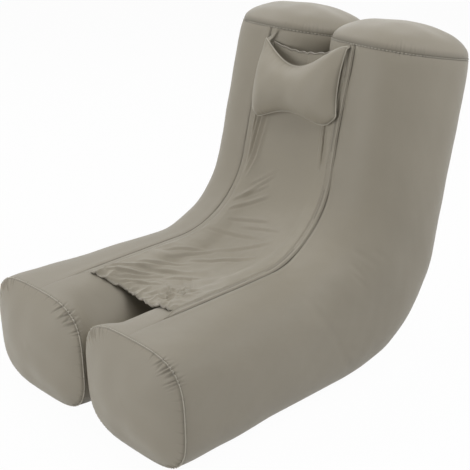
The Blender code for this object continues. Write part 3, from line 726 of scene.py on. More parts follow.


# %% [markdown]
# Beside the sling seam the cloth swells on both sides and the seam sits in the dip between them. Ahead of
# the sling the seam carries on to the foot as a faint crease. On the outside of the bend four short dents
# show where the cover was folded for packing. The shades say how dark a pucker's valley is painted as painted
# shade, for each metre of its depth, and the dips at the end seams and the sling seam get painted shade too.

# %% The cover's own height
SLING_STARTS = 0.148
SEAM_DIP, SEAM_WIDTH = 0.0020, 0.0026
# painted shade in the dip at each end seam, at its deepest
SEAM_PAINTED_SHADE = {"foot": 0.9, "top": 1.0}
SLEEVE_PUCKER = {"foot": 0.45, "top": 1.0}
SLEEVE_SHADE, END_SHADE, CORD_SHADE = 330, 420, 260
SLING_SWELL, SLING_DIP = (0.0012, 0.013, 0.008), (0.0020, 0.0030)
DENT_DEPTH, DENT_WIDTH = 0.0016, 0.0055
PACKING_DENTS = (
    ((0.290, 0.099, 0.373), (0.333, 0.156, 0.322)),
    ((0.297, 0.078, 0.350), (0.331, 0.113, 0.300)),
    ((0.310, 0.073, 0.328), (0.338, 0.121, 0.268)),
    ((0.316, 0.146, 0.366), (0.336, 0.190, 0.328)),
)


def dent(points, start, end, width):
    """1 on a straight segment and falling off like a bell curve beside it, tapered towards its ends."""
    start, end = np.array(start), np.array(end)
    run = end - start
    share = ((points - start) @ run) / (run @ run)
    nearest = start + np.clip(share, 0, 1)[..., None] * run
    gap = np.linalg.norm(points - nearest, axis=-1)
    return bell(gap, width) * np.clip(4 * share * (1 - share), 0, 1) ** 0.7


def seam_offset(side, station, angle):
    """Distance from the sling seam across the top of the tube, positive on the outer side."""
    *_rest, width, power = section(station)
    x = TUBE_GAP + width / 2 * (1 + np.cos(angle) * superellipse(angle, power))
    return np.where(np.sin(angle) > 0, x - seam_distance(side, station), 1.0)


def skin(name, station, angle):
    """The cover's lift over its smooth form, and the painted shade of its seam and pucker valleys at each
    point, from 0 to 1.
    """
    station, angle = np.broadcast_arrays(np.asarray(station, float), angle)
    from_foot, from_top = end_distance(station)
    off = seam_offset(SIDES[name], station, angle)
    behind = np.clip((np.interp(station, (0, 1, 2, 3), INNER_LENGTHS) - 0.04) / SLING_STARTS, 0.12, 1)
    along, girth = station * 0.5, angle * 0.17
    lift = drift(along, girth, 0.23, 5) * 0.0011 + drift(along, girth, 0.06, 6) * 0.0002
    lift = lift * np.clip(from_foot / 0.05, 0, 1) * np.clip(from_top / 0.05, 0, 1)
    flat = kept_flat(SIDES[name], tube_point(SIDES[name], station, angle))
    lift = lift * (1 - flat) - 0.0002 * flat
    valley = 0.0
    for end, away in (("foot", from_foot), ("top", from_top)):
        pucker = creases(girth_at(end, angle), away, PUCKERS[name, end]) * SLEEVE_PUCKER[end]
        lift = lift + pucker - SEAM_DIP * bell(away, SEAM_WIDTH)
        # painted shade: pucker valleys and the end seam's dip are darkened
        valley = valley - SLEEVE_SHADE * pucker + SEAM_PAINTED_SHADE[end] * bell(away, SEAM_WIDTH)
    lift = lift + behind * SLING_SWELL[0] * bell(np.abs(off) - SLING_SWELL[1], SLING_SWELL[2])
    lift = lift - behind * SLING_DIP[0] * bell(off, SLING_DIP[1])
    # painted shade in the sling seam's dip
    valley = valley + 0.9 * behind * bell(off, 0.0024)
    if name == "left":
        points = tube_point(1, station, angle)
        for start, end in PACKING_DENTS:
            lift = lift - DENT_DEPTH * dent(points, start, end, DENT_WIDTH)
    return lift, np.clip(valley, 0, 1)


# %% [markdown]
# ## The covers
#
# Each tube's cover is sewn from four panels: an outer one that runs from the sling seam round the outside
# and under the tube, an inner one from the sling seam down to the join between the tubes, and a domed panel
# at each end. The rows crowd together near the end seams, where the puckers are. The weave needs lengths
# of cloth: along the tube they are those of its middle, and round it they are the angle times a mean radius.


# %% Outer and inner panels
CLOSE_RUN, WIDE_FROM = 0.034, 0.037
CLOTH_RADIUS = 0.178
MIDDLE_LENGTHS = np.cumsum([0.0, SEAT_RUN * 0.9, BEND_RADIUS * RECLINE * 0.78, BACK_RUN * 0.82])


def crowded(count, pull):
    """Values from -1 to 1, crowded at both ends by pull."""
    t = np.linspace(-1, 1, count)
    return t * (1 - pull) + pull * np.sin(t * math.pi / 2)


def sleeve_rows():
    """Stations of the rows: close ones near both end seams and wider ones along the tube."""
    near = CLOSE_RUN * np.linspace(0, 1, 20) ** 1.15
    low, high = WIDE_FROM / SEAT_RUN, 3 - WIDE_FROM / BACK_RUN
    at = np.linspace(low, high, 600)
    middle = low + (high - low) * spread(1 + 1.2 * bell(at - 1.35, 0.35), 124)
    return near / SEAT_RUN, middle, 3 - near[::-1] / BACK_RUN


def sleeve_columns(start, seam_end):
    """Shares across a panel for its columns, all of them and every fourth: they crowd at the section's
    corners and beside the sling seam, which is at the panel's last column if seam_end is true."""
    t = np.linspace(0, 1, 900)
    angle = start + t * ((88 if seam_end else 190) - start)
    from_corner = (angle + 360) % 90 - 45
    from_seam = (1 - t) * 258 if seam_end else t * 100
    density = 1 + 1.5 * bell(from_corner, 14) + 12 * bell(from_seam, 3.2)
    fine = spread(density, 4 * (148 if seam_end else 62) + 1)
    return fine[None, :], fine[None, ::4]


def cover_panel(name, side, label):
    """A sleeve panel: the outer one from the join under the tube up to the sling seam, the inner one from
    there down to the join."""
    outer = label == "outer"
    fine, wide = sleeve_columns(-170, True) if outer else sleeve_columns(88, False)
    blocks = []
    for stations, share in zip(sleeve_rows(), (fine, wide, fine)):
        station = stations[:, None]
        seam = seam_angle(side, station)
        start, end = (JOIN_START, seam) if outer else (seam, JOIN_ANGLE)
        angle = start + (end - start) * share
        lift, valley = skin(name, station, angle)
        run = np.interp(station, (0, 1, 2, 3), MIDDLE_LENGTHS)
        uv = np.stack(np.broadcast_arrays(CLOTH_RADIUS * angle, run), axis=-1)
        blocks.append((tube_point(side, station, angle, lift), uv, valley))
    opening = round_hole(back_mount(side, VALVE_HEIGHT), *COVER_HOLE) if outer else None
    piece = wall(banded(f"{name}_{label}_cover", blocks, flip=side < 0, hole=opening), COVER_WALL)
    return dress(piece, cover_nylon, "sofa", "cover", f"{name}_{label}_panel")


for name, side in SIDES.items():
    cover_panel(name, side, "outer")
    cover_panel(name, side, "inner")


# %% End panels
def end_panel(name, side, end, station, dome):
    """A domed end: the section shrinks towards its middle by scale while it is pushed out by
    height (1 - scale^2)^power, and the seam's creases run inwards from the rim."""
    height, power = dome
    outwards = 1 if end == "top" else -1
    angle = np.linspace(JOIN_START, JOIN_ANGLE, 560, endpoint=False)[None, :]
    up = np.array([0.0, *section(station)[1]])
    blocks = []
    for scale, turn in (
        (1 - 0.185 * np.linspace(0, 1, 22) ** 1.15, angle),
        (0.805 - 0.775 * np.linspace(0, 1, 30), angle[:, ::4]),
    ):
        scale = scale[:, None]
        flat = tube_point(side, station, turn, scale=scale)
        across_flat = flat - tube_point(side, station, 0.0, scale=0.0)
        place = np.stack([across_flat[..., 0], across_flat @ up], axis=-1)
        away = (1 - scale) / np.maximum(scale, 0.3) * np.linalg.norm(place, axis=-1)
        pucker = creases(girth_at(end, turn), away, PUCKERS[name, end]) * np.clip((scale - 0.5) * 4, 0, 1)
        tuck = 0.0026 * bell(away, SEAM_WIDTH)
        soft = 0.0012 * drift(place[..., 0], place[..., 1], 0.11, 8) * np.clip(away / 0.05, 0, 1)
        rise = 0.0012 + height * (1 - scale**2) ** power + 1.3 * pucker - tuck + soft
        points = tube_point(side, station, turn, lift=0.3 * pucker, scale=scale, push=outwards * rise)
        # painted shade in the puckers and in the dip at the rim seam
        valley = np.clip(-END_SHADE * pucker + SEAM_PAINTED_SHADE[end] * bell(away, SEAM_WIDTH), 0, 1)
        blocks.append((points, place, valley))
    piece = banded(f"{name}_{end}_cover", blocks, ring=True, cap=True, flip=outwards * side < 0)
    return dress(wall(piece, COVER_WALL), cover_nylon, "sofa", "cover", f"{name}_{end}_panel")


for name, side in SIDES.items():
    end_panel(name, side, "foot", 0.0, FOOT_DOME)
    end_panel(name, side, "top", 3.0, TOP_DOME)


# %% [markdown]
# ## Pipings and their stitches
#
# A piping is a cord in a folded strip of cloth, caught in the seam between two panels. It follows the same
# section as the panels, and dips a little wherever a pucker meets it. Beside each end seam a row of
# stitches holds the seam allowance down.


# %% Cords in the seams
CORD_TWIST, DASH_PITCH = 0.0052, 0.0095


def outward(side, station, angle):
    """Directions straight off the cover, from two points a little apart."""
    return unit(tube_point(side, station, angle, 0.004) - tube_point(side, station, angle))


def end_piping(name, side, end, station):
    """The cord round an end seam, with painted shade where a pucker meets it. The top one is painted dark for
    a part of every DASH_PITCH as painted shade of notches, so the rest of it shows as a row of light dashes."""
    angle = np.linspace(JOIN_START, JOIN_ANGLE, 760, endpoint=False)
    pucker = creases(girth_at(end, angle), 0.0, PUCKERS[name, end])
    fine, thick = (0.75, 0.0014) if end == "foot" else (0.95, 0.0011)
    lift = 0.0004 + fine * pucker
    radius = thick * (1 + 0.10 * np.sin(girth_at(end, angle) * 2 * math.pi / CORD_TWIST))
    path = tube_point(side, station, angle, lift)
    # painted shade where puckers meet the cord
    dark = np.clip(-CORD_SHADE * pucker, 0, 1)[:, None]
    if end == "top":
        # painted shade of notches along the top cord, as dark dashes
        dashes = np.clip(3 * np.sin(girth_at(end, angle) * 2 * math.pi / DASH_PITCH + 3 * pucker), 0, 1)
        dark = np.maximum(dark, 0.9 * dashes[:, None])
    piece = cord(f"{name}_{end}_cord", path, outward(side, station, angle), radius, closed=True, seam=dark)
    return dress(piece, piping_cloth, "sofa", "trim", f"{name}_{end}_piping")


def seam_piping(name, side):
    """The cord along the sling seam: thin ahead of the sling and full beside it. The right tube's is
    thinner and is painted darker, as painted shade of its seam."""
    # dark: painted shade on the cord, strongest on the right tube
    full, dark = (0.0014, 0.25) if side > 0 else (0.0009, 0.85)
    distance = np.linspace(0.006, INNER_LENGTHS[3] - 0.006, 560)
    station = station_at(distance)
    grown = np.clip((distance - 0.10) / 0.07, 0, 1)
    radius = full * (0.30 + 0.70 * ease(grown))
    radius = radius * (1 + 0.10 * np.sin(distance * 2 * math.pi / CORD_TWIST))
    angle = seam_angle(side, station)
    path = tube_point(side, station, angle, 0.0016 * grown - 0.0012)
    piece = cord(f"{name}_sling_seam_cord", path, outward(side, station, angle), radius, seam=dark)
    return dress(piece, seam_tape, "sofa", "trim", f"{name}_seam_piping")


def end_stitches(name, side, end, station):
    """A row of topstitching on the sleeve, 5 mm from the seam."""
    angle = np.linspace(JOIN_START, JOIN_ANGLE, 900)
    step = 0.0052 / (SEAT_RUN if end == "foot" else -BACK_RUN)
    lift = skin(name, station + step, angle)[0]
    path = tube_point(side, station + step, angle, lift + 0.0001)
    row = stitches(f"{name}_{end}_topstitch", path, outward(side, station + step, angle))
    return dress(row, thread, "sofa", "trim")


for name, side in SIDES.items():
    seam_piping(name, side)
    for end, station in (("foot", 0.0), ("top", 3.0)):
        end_piping(name, side, end, station)
        end_stitches(name, side, end, station)


# %% [markdown]
# ## The air bladders
#
# Inside each cover lies a bladder of thermoplastic film, a little smaller than the cover, welded round its
# ends. It doesn't show, but it is what makes the cover stand, so it has its own surface too.


# %% Bladders
BLADDER_INSET = 0.0065


def bladder(name, side):
    """The tube's section drawn in a little, with rounded ends. Its rows crowd at the valve's hole."""
    near = np.array([0.004, 0.012, 0.03, 0.06])
    at = np.linspace(0.18, 2.82, 600)
    close = bell(at - 2 - VALVE_HEIGHT / BACK_RUN, 0.05)
    along = 0.18 + 2.64 * spread(1 + 12 * close, 96)
    station = np.concatenate([near / SEAT_RUN, along, 3 - near[::-1] / BACK_RUN])
    angle = circle(220)[None, :]
    sleeve = tube_point(side, station[:, None], angle, -BLADDER_INSET)
    ends = []
    for place, outwards, reach in ((station[0], -1, 0.018), (station[-1], 1, 0.034)):
        scale = np.array([0.96, 0.86, 0.70, 0.48, 0.24, 0.06])[:, None]
        push = outwards * reach * (1 - scale**2)
        ends.append(tube_point(side, place, angle, -BLADDER_INSET, scale, push))
    points = np.concatenate([ends[0][::-1], sleeve, ends[1]])
    opening = round_hole(back_mount(side, VALVE_HEIGHT), *BLADDER_HOLE)
    piece = grid(f"{name}_bladder_film", points, ring=True, caps=(True, True), flip=side < 0, hole=opening)
    return dress(wall(piece, FILM_WALL), film, "sofa", "film", f"{name}_air_bladder")


for name, side in SIDES.items():
    bladder(name, side)

# %% [markdown]
# ## Valves
#
# A valve has a base welded into the bladder, an insert that plugs it and swings out for letting the air go,
# a rubber flap that lets air in only, and a cap. All are turned parts, so each is a closed outline of
# radius and height carried round an axis, with its corners softened as a mould softens them. The hinge ears
# are cut from a side view.


# %% Turned parts and plates
def softened(outline, radius, steps=4, closed=True):
    """Rounds every corner P of an outline: from A before it to B after it runs (1-t)^2 A + 2t(1-t) P + t^2
    B."""
    outline = np.asarray(outline, float)
    before, after = np.roll(outline, 1, axis=0) - outline, np.roll(outline, -1, axis=0) - outline
    reach = [np.linalg.norm(leg, axis=1, keepdims=True) for leg in (before, after)]
    cut = [np.minimum(radius, 0.45 * length) / np.maximum(length, 1e-9) for length in reach]
    start, end = outline + before * cut[0], outline + after * cut[1]
    t = np.linspace(0, 1, steps)[None, :, None]
    arcs = (1 - t) ** 2 * start[:, None] + 2 * t * (1 - t) * outline[:, None] + t * t * end[:, None]
    if closed:
        return arcs.reshape(-1, 2)
    return np.concatenate([outline[:1], arcs[1:-1].reshape(-1, 2), outline[-1:]])


def facing_out(piece):
    """Turns the faces round if the volume they enclose comes out negative: the sum of a . (b x c) / 6."""
    mesh = piece.data
    mesh.calc_loop_triangles()
    corners = np.empty(len(mesh.loop_triangles) * 3, np.int32)
    mesh.loop_triangles.foreach_get("vertices", corners)
    places = np.empty(len(mesh.vertices) * 3, np.float32)
    mesh.vertices.foreach_get("co", places)
    places = places.reshape(-1, 3).astype(float)
    a, b, c = np.moveaxis((places - places.mean(axis=0))[corners.reshape(-1, 3)], 1, 0)
    if np.einsum("ij,ij->", a, np.cross(b, c)) < 0:
        mesh.flip_normals()
    return piece


def turned(name, outline, mount, disc, soft):
    """An outline of (radius, height) carried round the z axis: a ring, or a disc whose outline starts and
    ends near the axis."""
    profile = softened(outline, soft, closed=not disc)
    turn = circle(80)
    rows = profile[:, 0, None] * np.cos(turn), profile[:, 0, None] * np.sin(turn)
    points = np.stack([*rows, np.broadcast_to(profile[:, 1, None], rows[0].shape)], axis=-1)
    return facing_out(grid(name, from_mount(points, mount), ring=True, loop=not disc, caps=(disc, disc)))


def plate(name, outline, low, high, mount, along="z", chamfer=0.00025, hole=None):
    """An outline carried from low to high, z or x wise, its rims drawn in by the chamfer. With a hole,
    which has as many points as the outline, the surface also runs through it."""
    outline = np.asarray(outline, float)
    inwards = unit(outline.mean(axis=0) - outline) * chamfer
    rows = [(outline + inwards, low), (outline, low + chamfer)]
    rows += [(outline, high - chamfer), (outline + inwards, high)]
    if hole is not None:
        hole = np.asarray(hole, float)
        outwards = unit(hole - hole.mean(axis=0)) * chamfer
        rows += [(hole + outwards, high), (hole, high - chamfer)]
        rows += [(hole, low + chamfer), (hole + outwards, low)]
    order = (0, 1, 2) if along == "z" else (2, 0, 1)
    points = np.stack([np.column_stack([line, np.full(len(line), level)])[:, order] for line, level in rows])
    capped = hole is None
    points = from_mount(points, mount)
    return facing_out(grid(name, points, ring=True, loop=not capped, caps=(capped, capped)))


EAR_RADIUS = 0.0011


def arc(middle, radius, turn):
    """Points at the angles turn of a circle about the middle."""
    return np.column_stack([middle[0] + radius * np.cos(turn), middle[1] + radius * np.sin(turn)])


def tongue(start, hinge, low, high):
    """The side view of a hinge ear: a bar from start out to a round end about the hinge."""
    end = arc(hinge, EAR_RADIUS, np.linspace(-math.pi / 2, math.pi / 2, 15))
    return np.concatenate([[(start, low)], end, [(start, high)]])


def rounded_box(half_width, low, high, radius):
    """A rectangle from -half_width to half_width and from low to high with round corners, of 32 points."""
    corners = [(half_width, low), (half_width, high), (-half_width, high), (-half_width, low)]
    return softened(corners, radius, steps=8)


# %% Valves
INSERT_HINGE, CAP_HINGE = (0.0222, 0.0029), (0.0178, 0.0052)
MILLIMETRE = 0.001
BASE_RADII = (13.0, 24.0, 24.0, 16.5, 16.5, 20.5, 20.5, 13.0)
BASE_HEIGHTS = (-6.1, -6.1, -4.7, -4.7, 0.4, 0.4, 1.9, 1.9)
INSERT_RADII = (8.5, 11.6, 12.5, 18.2, 18.2, 10.8, 10.4, 8.5)
INSERT_HEIGHTS = (-1.8, -1.8, 2.2, 2.2, 3.6, 3.6, 3.2, 3.2)
CAP_RADII = (0.4, 7.4, 8.1, 15.5, 15.5, 12.8, 12.2, 6.0, 5.4, 0.4)
CAP_HEIGHTS = (1.0, 1.0, 4.0, 4.0, 5.6, 5.6, 5.1, 5.1, 5.6, 5.6)
FLAP_RADII, FLAP_HEIGHTS = (0.4, 10.5, 10.5, 3.0, 0.4), (-3.1, -3.1, -2.4, -2.2, -2.2)
TURNED_PARTS = (
    ("socket", "base", (BASE_RADII, BASE_HEIGHTS), False, 0.0003),
    ("plug", "insert", (INSERT_RADII, INSERT_HEIGHTS), False, 0.0003),
    ("lid", "cap", (CAP_RADII, CAP_HEIGHTS), True, 0.0003),
    ("rubber", "flap", (FLAP_RADII, FLAP_HEIGHTS), True, 0.0002),
)
EAR_SPANS = {"a": (-0.0052, -0.0024), "b": (0.0024, 0.0052)}
SOCKET_EAR = tongue(0.0180, INSERT_HINGE, 0.0006, 0.0030)
PLUG_EAR = tongue(0.0162, CAP_HINGE, 0.0030, 0.0054)
PLUG_STRAP = tongue(0.0165, INSERT_HINGE, 0.0024, 0.0035)
LID_STRAP = tongue(0.0130, CAP_HINGE, 0.0042, 0.0055)
VALVE_PLATES = (
    ("socket_ear_a", "base", SOCKET_EAR, *EAR_SPANS["a"], "x"),
    ("plug_ear_a", "insert", PLUG_EAR, *EAR_SPANS["a"], "x"),
    ("socket_ear_b", "base", SOCKET_EAR, *EAR_SPANS["b"], "x"),
    ("plug_ear_b", "insert", PLUG_EAR, *EAR_SPANS["b"], "x"),
    ("plug_strap", "insert", PLUG_STRAP, -0.002, 0.002, "x"),
    ("lid_strap", "cap", LID_STRAP, -0.002, 0.002, "x"),
    ("lid_grip", "cap", rounded_box(0.0035, -0.0185, -0.0140, 0.0016), 0.0043, 0.0055, "z"),
)


def valve(name, side):
    """The four turned parts, each for the solid of its kind, with their hinge ears, straps and grip."""
    mount = back_mount(side, VALVE_HEIGHT)
    bodies = {"base": "sofa"} | {part: f"{name}_valve_{part}" for part in ("insert", "cap", "flap")}
    for label, part, outline, disc, soft in TURNED_PARTS:
        piece = turned(f"{name}_valve_{label}", np.column_stack(outline) * MILLIMETRE, mount, disc, soft)
        coat, slot = (rubber, "flap_rubber") if part == "flap" else (moulded, "valve_plastic")
        dress(piece, coat, bodies[part], slot, f"{name}_valve_{part}")
    for label, part, outline, low, high, along in VALVE_PLATES:
        piece = plate(f"{name}_{label}", outline, low, high, mount, along)
        dress(piece, moulded, bodies[part], "valve_plastic")


for name, side in SIDES.items():
    valve(name, side)


# %% [markdown]
# ## Zips
#
# The zip lets the bladder out of its cover for mending. Its tape is a woven strip with a line of stitches
# down each edge, its teeth are plastic loops that meet in the middle, and a cast slider runs on them. The
# pull hangs from the slider and can be swung up.


# %% Zips
TAPE_HALF, TOOTH_PITCH = 0.013, 0.0016
TOOTH_ROWS = ((-0.00115, 0.35, 0), (-0.0009, 0.85, 0), (0, 1, 0), (0.0009, 0.85, 0), (0.00115, 0.35, 0))
TOOTH = bead(TOOTH_ROWS, sides=8, wide=0.0006, tall=0.0007)
PULL_HINGE = (0.0135, 0.0065)


def mirrored(half):
    """A closed outline from its right half, which is given from one end of the middle line to the other."""
    return [*half, *((-x, y) for x, y in reversed(half))]


def zip_tape(name, mount):
    """The webbing, rippled along its edges, and a row of stitches near each of them."""
    x, y = np.linspace(-TAPE_HALF, TAPE_HALF, 27)[None, :], np.linspace(0, ZIP_LENGTH, 260)[:, None]
    x, y = np.broadcast_arrays(x, y)
    ripple = 0.00012 * np.sin(y * 2 * math.pi / 0.023 + 40 * x) * np.clip(np.abs(x) / TAPE_HALF, 0, 1)
    points = from_mount(np.stack([x, y, 0.00105 + ripple], axis=-1), mount)
    tape = wall(grid(f"{name}_zip_webbing", points), 0.0006)
    dress(tape, zip_webbing, "sofa", "trim", f"{name}_zip_tape")
    run = np.linspace(0.002, ZIP_LENGTH - 0.002, 60)
    for label, at in (("a", -0.0112), ("b", 0.0112)):
        line = np.column_stack([np.full(60, at), run, np.full(60, 0.0012)])
        row = stitches(f"{name}_zip_stitch_{label}", from_mount(line, mount), mount[0][:, 2])
        dress(row, thread, "sofa", "trim")


def zip_teeth(name, mount):
    """The teeth, by turns from the left and the right half of the zip."""
    at = np.arange(0.006 + TOOTH_PITCH / 2, ZIP_LENGTH - 0.006, TOOTH_PITCH / 2)
    side_of = np.where(np.arange(len(at)) % 2 == 0, 1.0, -1.0)
    places = from_mount(np.column_stack([side_of * 0.00125, at, np.full(len(at), 0.0022)]), mount)
    axes = [np.broadcast_to(axis, places.shape) for axis in mount[0].T]
    teeth = repeated(f"{name}_zip_teeth", *TOOTH, places, *axes)
    dress(facing_out(teeth), teeth_plastic, "sofa", "zip_teeth", f"{name}_zip_chain")


def zip_metal(name, mount):
    """The slider, with a flange and a lug at each side, and the pull, which hangs straight down at rest."""
    soft = 0.00025
    arch = arc(PULL_HINGE, 0.0020, np.linspace(0, math.pi, 15))
    lug = np.concatenate([[(0.0155, 0.0046)], arch, [(0.0115, 0.0046)]])
    body = softened(mirrored([(0.0055, 0.008), (0.0048, 0.0135), (0.0055, 0.019)]), 0.0016)
    slider = [("zip_runner", body, 0.0036, 0.0049, "z", 0.0004)]
    for label, sign in (("a", -1), ("b", 1)):
        flange = rounded_box(0.0011, 0.0084, 0.0186, 0.0008) + (sign * 0.0043, 0.0)
        slider.append((f"runner_flange_{label}", flange, 0.0015, 0.0040, "z", soft))
        slider.append((f"runner_lug_{label}", lug, *sorted((sign * 0.0024, sign * 0.0040)), "x", soft))
    for label, outline, low, high, along, chamfer in slider:
        piece = plate(f"{name}_{label}", outline, low, high, mount, along, chamfer)
        node = [f"{name}_zip_slider"] if label == "zip_runner" else []
        dress(piece, cast_metal, f"{name}_zip_slider", "zip_metal", *node)
    axes, tilt = mount[0], RECLINE - math.pi / 2
    up = axes[:, 1] * math.cos(tilt) + axes[:, 2] * math.sin(tilt)
    away = axes[:, 2] * math.cos(tilt) - axes[:, 1] * math.sin(tilt)
    hanging = (np.column_stack([axes[:, 0], up, away]), from_mount(np.array([0.0, *PULL_HINGE]), mount))
    rim = mirrored([(0.00375, -0.0280), (0.00375, -0.0080), (0.0018, -0.0045)])
    window = mirrored([(0.0016, -0.0235), (0.0016, -0.0110), (0.0009, -0.0102)])
    rim, window = softened(rim, 0.0024, 8), softened(window, 0.0010, 8)
    pull = plate(f"{name}_pull_tab", rim, -0.0006, 0.0006, hanging, hole=window)
    dress(pull, cast_metal, f"{name}_zip_pull", "zip_metal", f"{name}_zip_pull")
    neck = plate(f"{name}_pull_neck", rounded_box(0.0016, -0.0056, -0.0006, 0.0003), -0.0005, 0.0005, hanging)
    eye = arc((0.0, 0.0), 0.0012, circle(24))
    barrel = plate(f"{name}_pull_eye", eye, -0.0020, 0.0020, hanging, "x")
    for piece in (neck, barrel):
        dress(piece, cast_metal, f"{name}_zip_pull", "zip_metal")


def zip_fastener(name, side):
    mount = back_mount(side, ZIP_START)
    zip_tape(name, mount)
    zip_teeth(name, mount)
    zip_metal(name, mount)


for name, side in SIDES.items():
    zip_fastener(name, side)

# %% [markdown]
# ## The sling
#
# The sling hangs between the two tubes like a shallow trough and lies on them near its edges. It is a
# surface of two parameters: across, from -1 at one edge to 1 at the other, and share, from 0 at the front
# hem to 1 at the top hem. The elastic at the front gathers it into ruffles, slack runs away from them in
# long diagonal folds, and short folds fan out where it turns up into the back.

# %% Sizes and folds of the sling
SLING_LIFT, SLING_CLEARANCE, SLING_MELT = 0.0030, 0.0030, 0.004
SLING_FRONT_AT = (
    (-1.0, -0.8, -0.6, -0.45, -0.3, -0.05, 0.3, 0.5, 0.75, 1.0),
    (0.144, 0.147, 0.158, 0.168, 0.174, 0.167, 0.160, 0.156, 0.149, 0.144),
)
TOP_DROP, TOP_SAG, TOP_SKEW = 0.026, 0.022, 0.0125
SLING_SAG_AT = ((0.0, 0.12, 0.35, 0.6, 1.0), (0.033, 0.029, 0.026, 0.022, 0.022))
SLING_EDGE, SLING_SETTLE = 0.0197, 0.07
BINDING_START, BINDING_OUTER, BINDING_WIDTH, BINDING_LEAST = 0.110, 0.0017, 0.0205, 0.0012
FOLDS = (
    ((-0.160, 0.192), (-0.084, 0.301), 0.0060, 0.0030),
    ((-0.145, 0.178), (-0.061, 0.272), 0.0055, 0.0036),
    ((-0.121, 0.171), (-0.036, 0.290), 0.0060, 0.0030),
    ((-0.089, 0.190), (-0.016, 0.250), 0.0050, 0.0026),
    ((-0.120, 0.257), (0.002, 0.344), 0.0070, 0.0034),
    ((-0.133, 0.263), (-0.047, 0.368), 0.0055, 0.0026),
    ((-0.067, 0.380), (0.060, 0.497), 0.0060, 0.0036),
    ((-0.114, 0.337), (-0.059, 0.460), 0.0060, 0.0024),
    ((-0.041, 0.268), (0.040, 0.335), 0.0050, 0.0028),
    ((-0.071, 0.455), (0.063, 0.562), 0.0060, 0.0024),
    ((-0.140, 0.360), (-0.077, 0.445), 0.0055, 0.0022),
    ((-0.141, 0.518), (0.030, 0.561), 0.0055, 0.0024),
    ((-0.071, 0.567), (0.057, 0.596), 0.0045, 0.0022),
    ((-0.117, 0.572), (0.002, 0.612), 0.0048, 0.0026),
    ((-0.134, 0.596), (-0.040, 0.675), 0.0046, 0.0028),
    ((-0.139, 0.623), (-0.055, 0.700), 0.0044, 0.0026),
    ((-0.119, 0.643), (-0.044, 0.733), 0.0046, 0.0022),
    ((-0.113, 0.679), (-0.040, 0.746), 0.0040, 0.0018),
    ((-0.131, 0.890), (-0.146, 0.740), 0.0038, 0.0046),
    ((-0.118, 0.895), (-0.142, 0.725), 0.0034, 0.0046),
    ((-0.105, 0.900), (-0.136, 0.700), 0.0032, 0.0034),
    ((-0.090, 0.895), (-0.124, 0.690), 0.0036, 0.0020),
    ((0.112, 0.910), (0.122, 0.770), 0.0032, 0.0062),
    ((0.124, 0.910), (0.131, 0.780), 0.0030, 0.0058),
    ((0.100, 0.905), (0.104, 0.800), 0.0036, 0.0020),
    ((0.006, 0.305), (0.109, 0.221), 0.0060, 0.0030),
    ((-0.012, 0.263), (0.088, 0.209), 0.0050, 0.0028),
    ((0.017, 0.320), (0.116, 0.236), 0.0040, 0.0022),
)
FOLD_GAIN, HEM_RUFFLES = 1.55, 10
BUNCH_PLACE, BUNCH_REACH = (0.072, 0.226), (0.052, 0.040)


def ridge(gap, width):
    """A ridge with a sharper back than a bell curve: exp(-|gap / width|^1.4)."""
    return np.exp(-(np.abs(gap / width) ** 1.4))


def fold(x, distance, start, end, width, height):
    """A ridge along a bowed line on the cloth, steep on one flank and easy on the other, with a hollow beside
    it, tapered to its ends."""
    run = np.subtract(end, start)
    share = ((x - start[0]) * run[0] + (distance - start[1]) * run[1]) / (run @ run)
    gap = ((x - start[0]) * run[1] - (distance - start[1]) * run[0]) / np.linalg.norm(run)
    gap = gap - 0.12 * np.linalg.norm(run) * (share - 0.5) ** 2
    taper = np.clip(4 * share * (1 - share), 0, 1) ** 0.6
    flank = np.where(gap > 0, width * 0.55, width * 1.35)
    hollow = 0.42 * bell(gap - 1.4 * width, 0.65 * width)
    return height * taper * (ridge(gap, flank) - hollow)


def ruffles(x, away):
    """Gathers of the front hem: a ridge every three centimetres, each leaning its own way and dying out."""
    random = np.random.default_rng(21)
    total = 0.0
    for place in np.linspace(-0.14, 0.14, HEM_RUFFLES) + random.uniform(-0.006, 0.006, HEM_RUFFLES):
        width, length = random.uniform(0.0034, 0.0068), random.uniform(0.022, 0.058)
        height, slant = random.uniform(0.0045, 0.0095), random.uniform(-0.6, 0.9)
        total = total + height * ridge(x - place - slant * away, width) * bell(away, length)
    return total


def crumples(x, distance, wavelength, seed):
    """Sharp creases between flat facets: the mean of 1 - |wave| over a few waves, less its own average."""
    ridges = [1 - np.abs(drift(x, distance, wavelength, seed + k, 6)) for k in range(3)]
    return np.mean(ridges, axis=0) - 0.25


def sling_folds(x, distance, away):
    """The relief of the sling: the laid folds, the ruffles of the hem, crumples behind it that are strongest
    in a patch at its left, and a slackness that is greatest over the seat."""
    total = FOLD_GAIN * sum(fold(x, distance, *one) for one in FOLDS)
    bunch_x, bunch_y = (x - BUNCH_PLACE[0]) / BUNCH_REACH[0], (distance - BUNCH_PLACE[1]) / BUNCH_REACH[1]
    bunch = np.exp(-(bunch_x**4) - (bunch_y**4))
    rumple = 0.0170 * crumples(x, distance, 0.046, 31) * bunch
    rumple = rumple + 0.0056 * crumples(x, distance, 0.050, 41) * bell(away, 0.075) * (1 - bunch)
    slack = 0.0021 * drift(x, distance, 0.070, 32) * bell(distance - 0.30, 0.18)
    fine = 0.0009 * crumples(x, distance, 0.050, 51) * bell(distance - 0.42, 0.22)
    quiet = 0.0006 * drift(x, distance, 0.10, 33)
    return total + ruffles(x, away) + rumple + slack + fine + quiet


def sling_front(across):
    """Distance of the front hem from the foot seam: the elastic pulls it back, most of all to the right of
    the middle."""
    scallop = 0.0014 * np.sin(across * 14 + 0.6) + 0.0008 * np.sin(across * 31 + 1.9)
    near = [np.interp(across + step, *SLING_FRONT_AT) for step in (-0.09, -0.045, 0.0, 0.045, 0.09)]
    return np.mean(near, axis=0) + scallop * (1 - across**2)


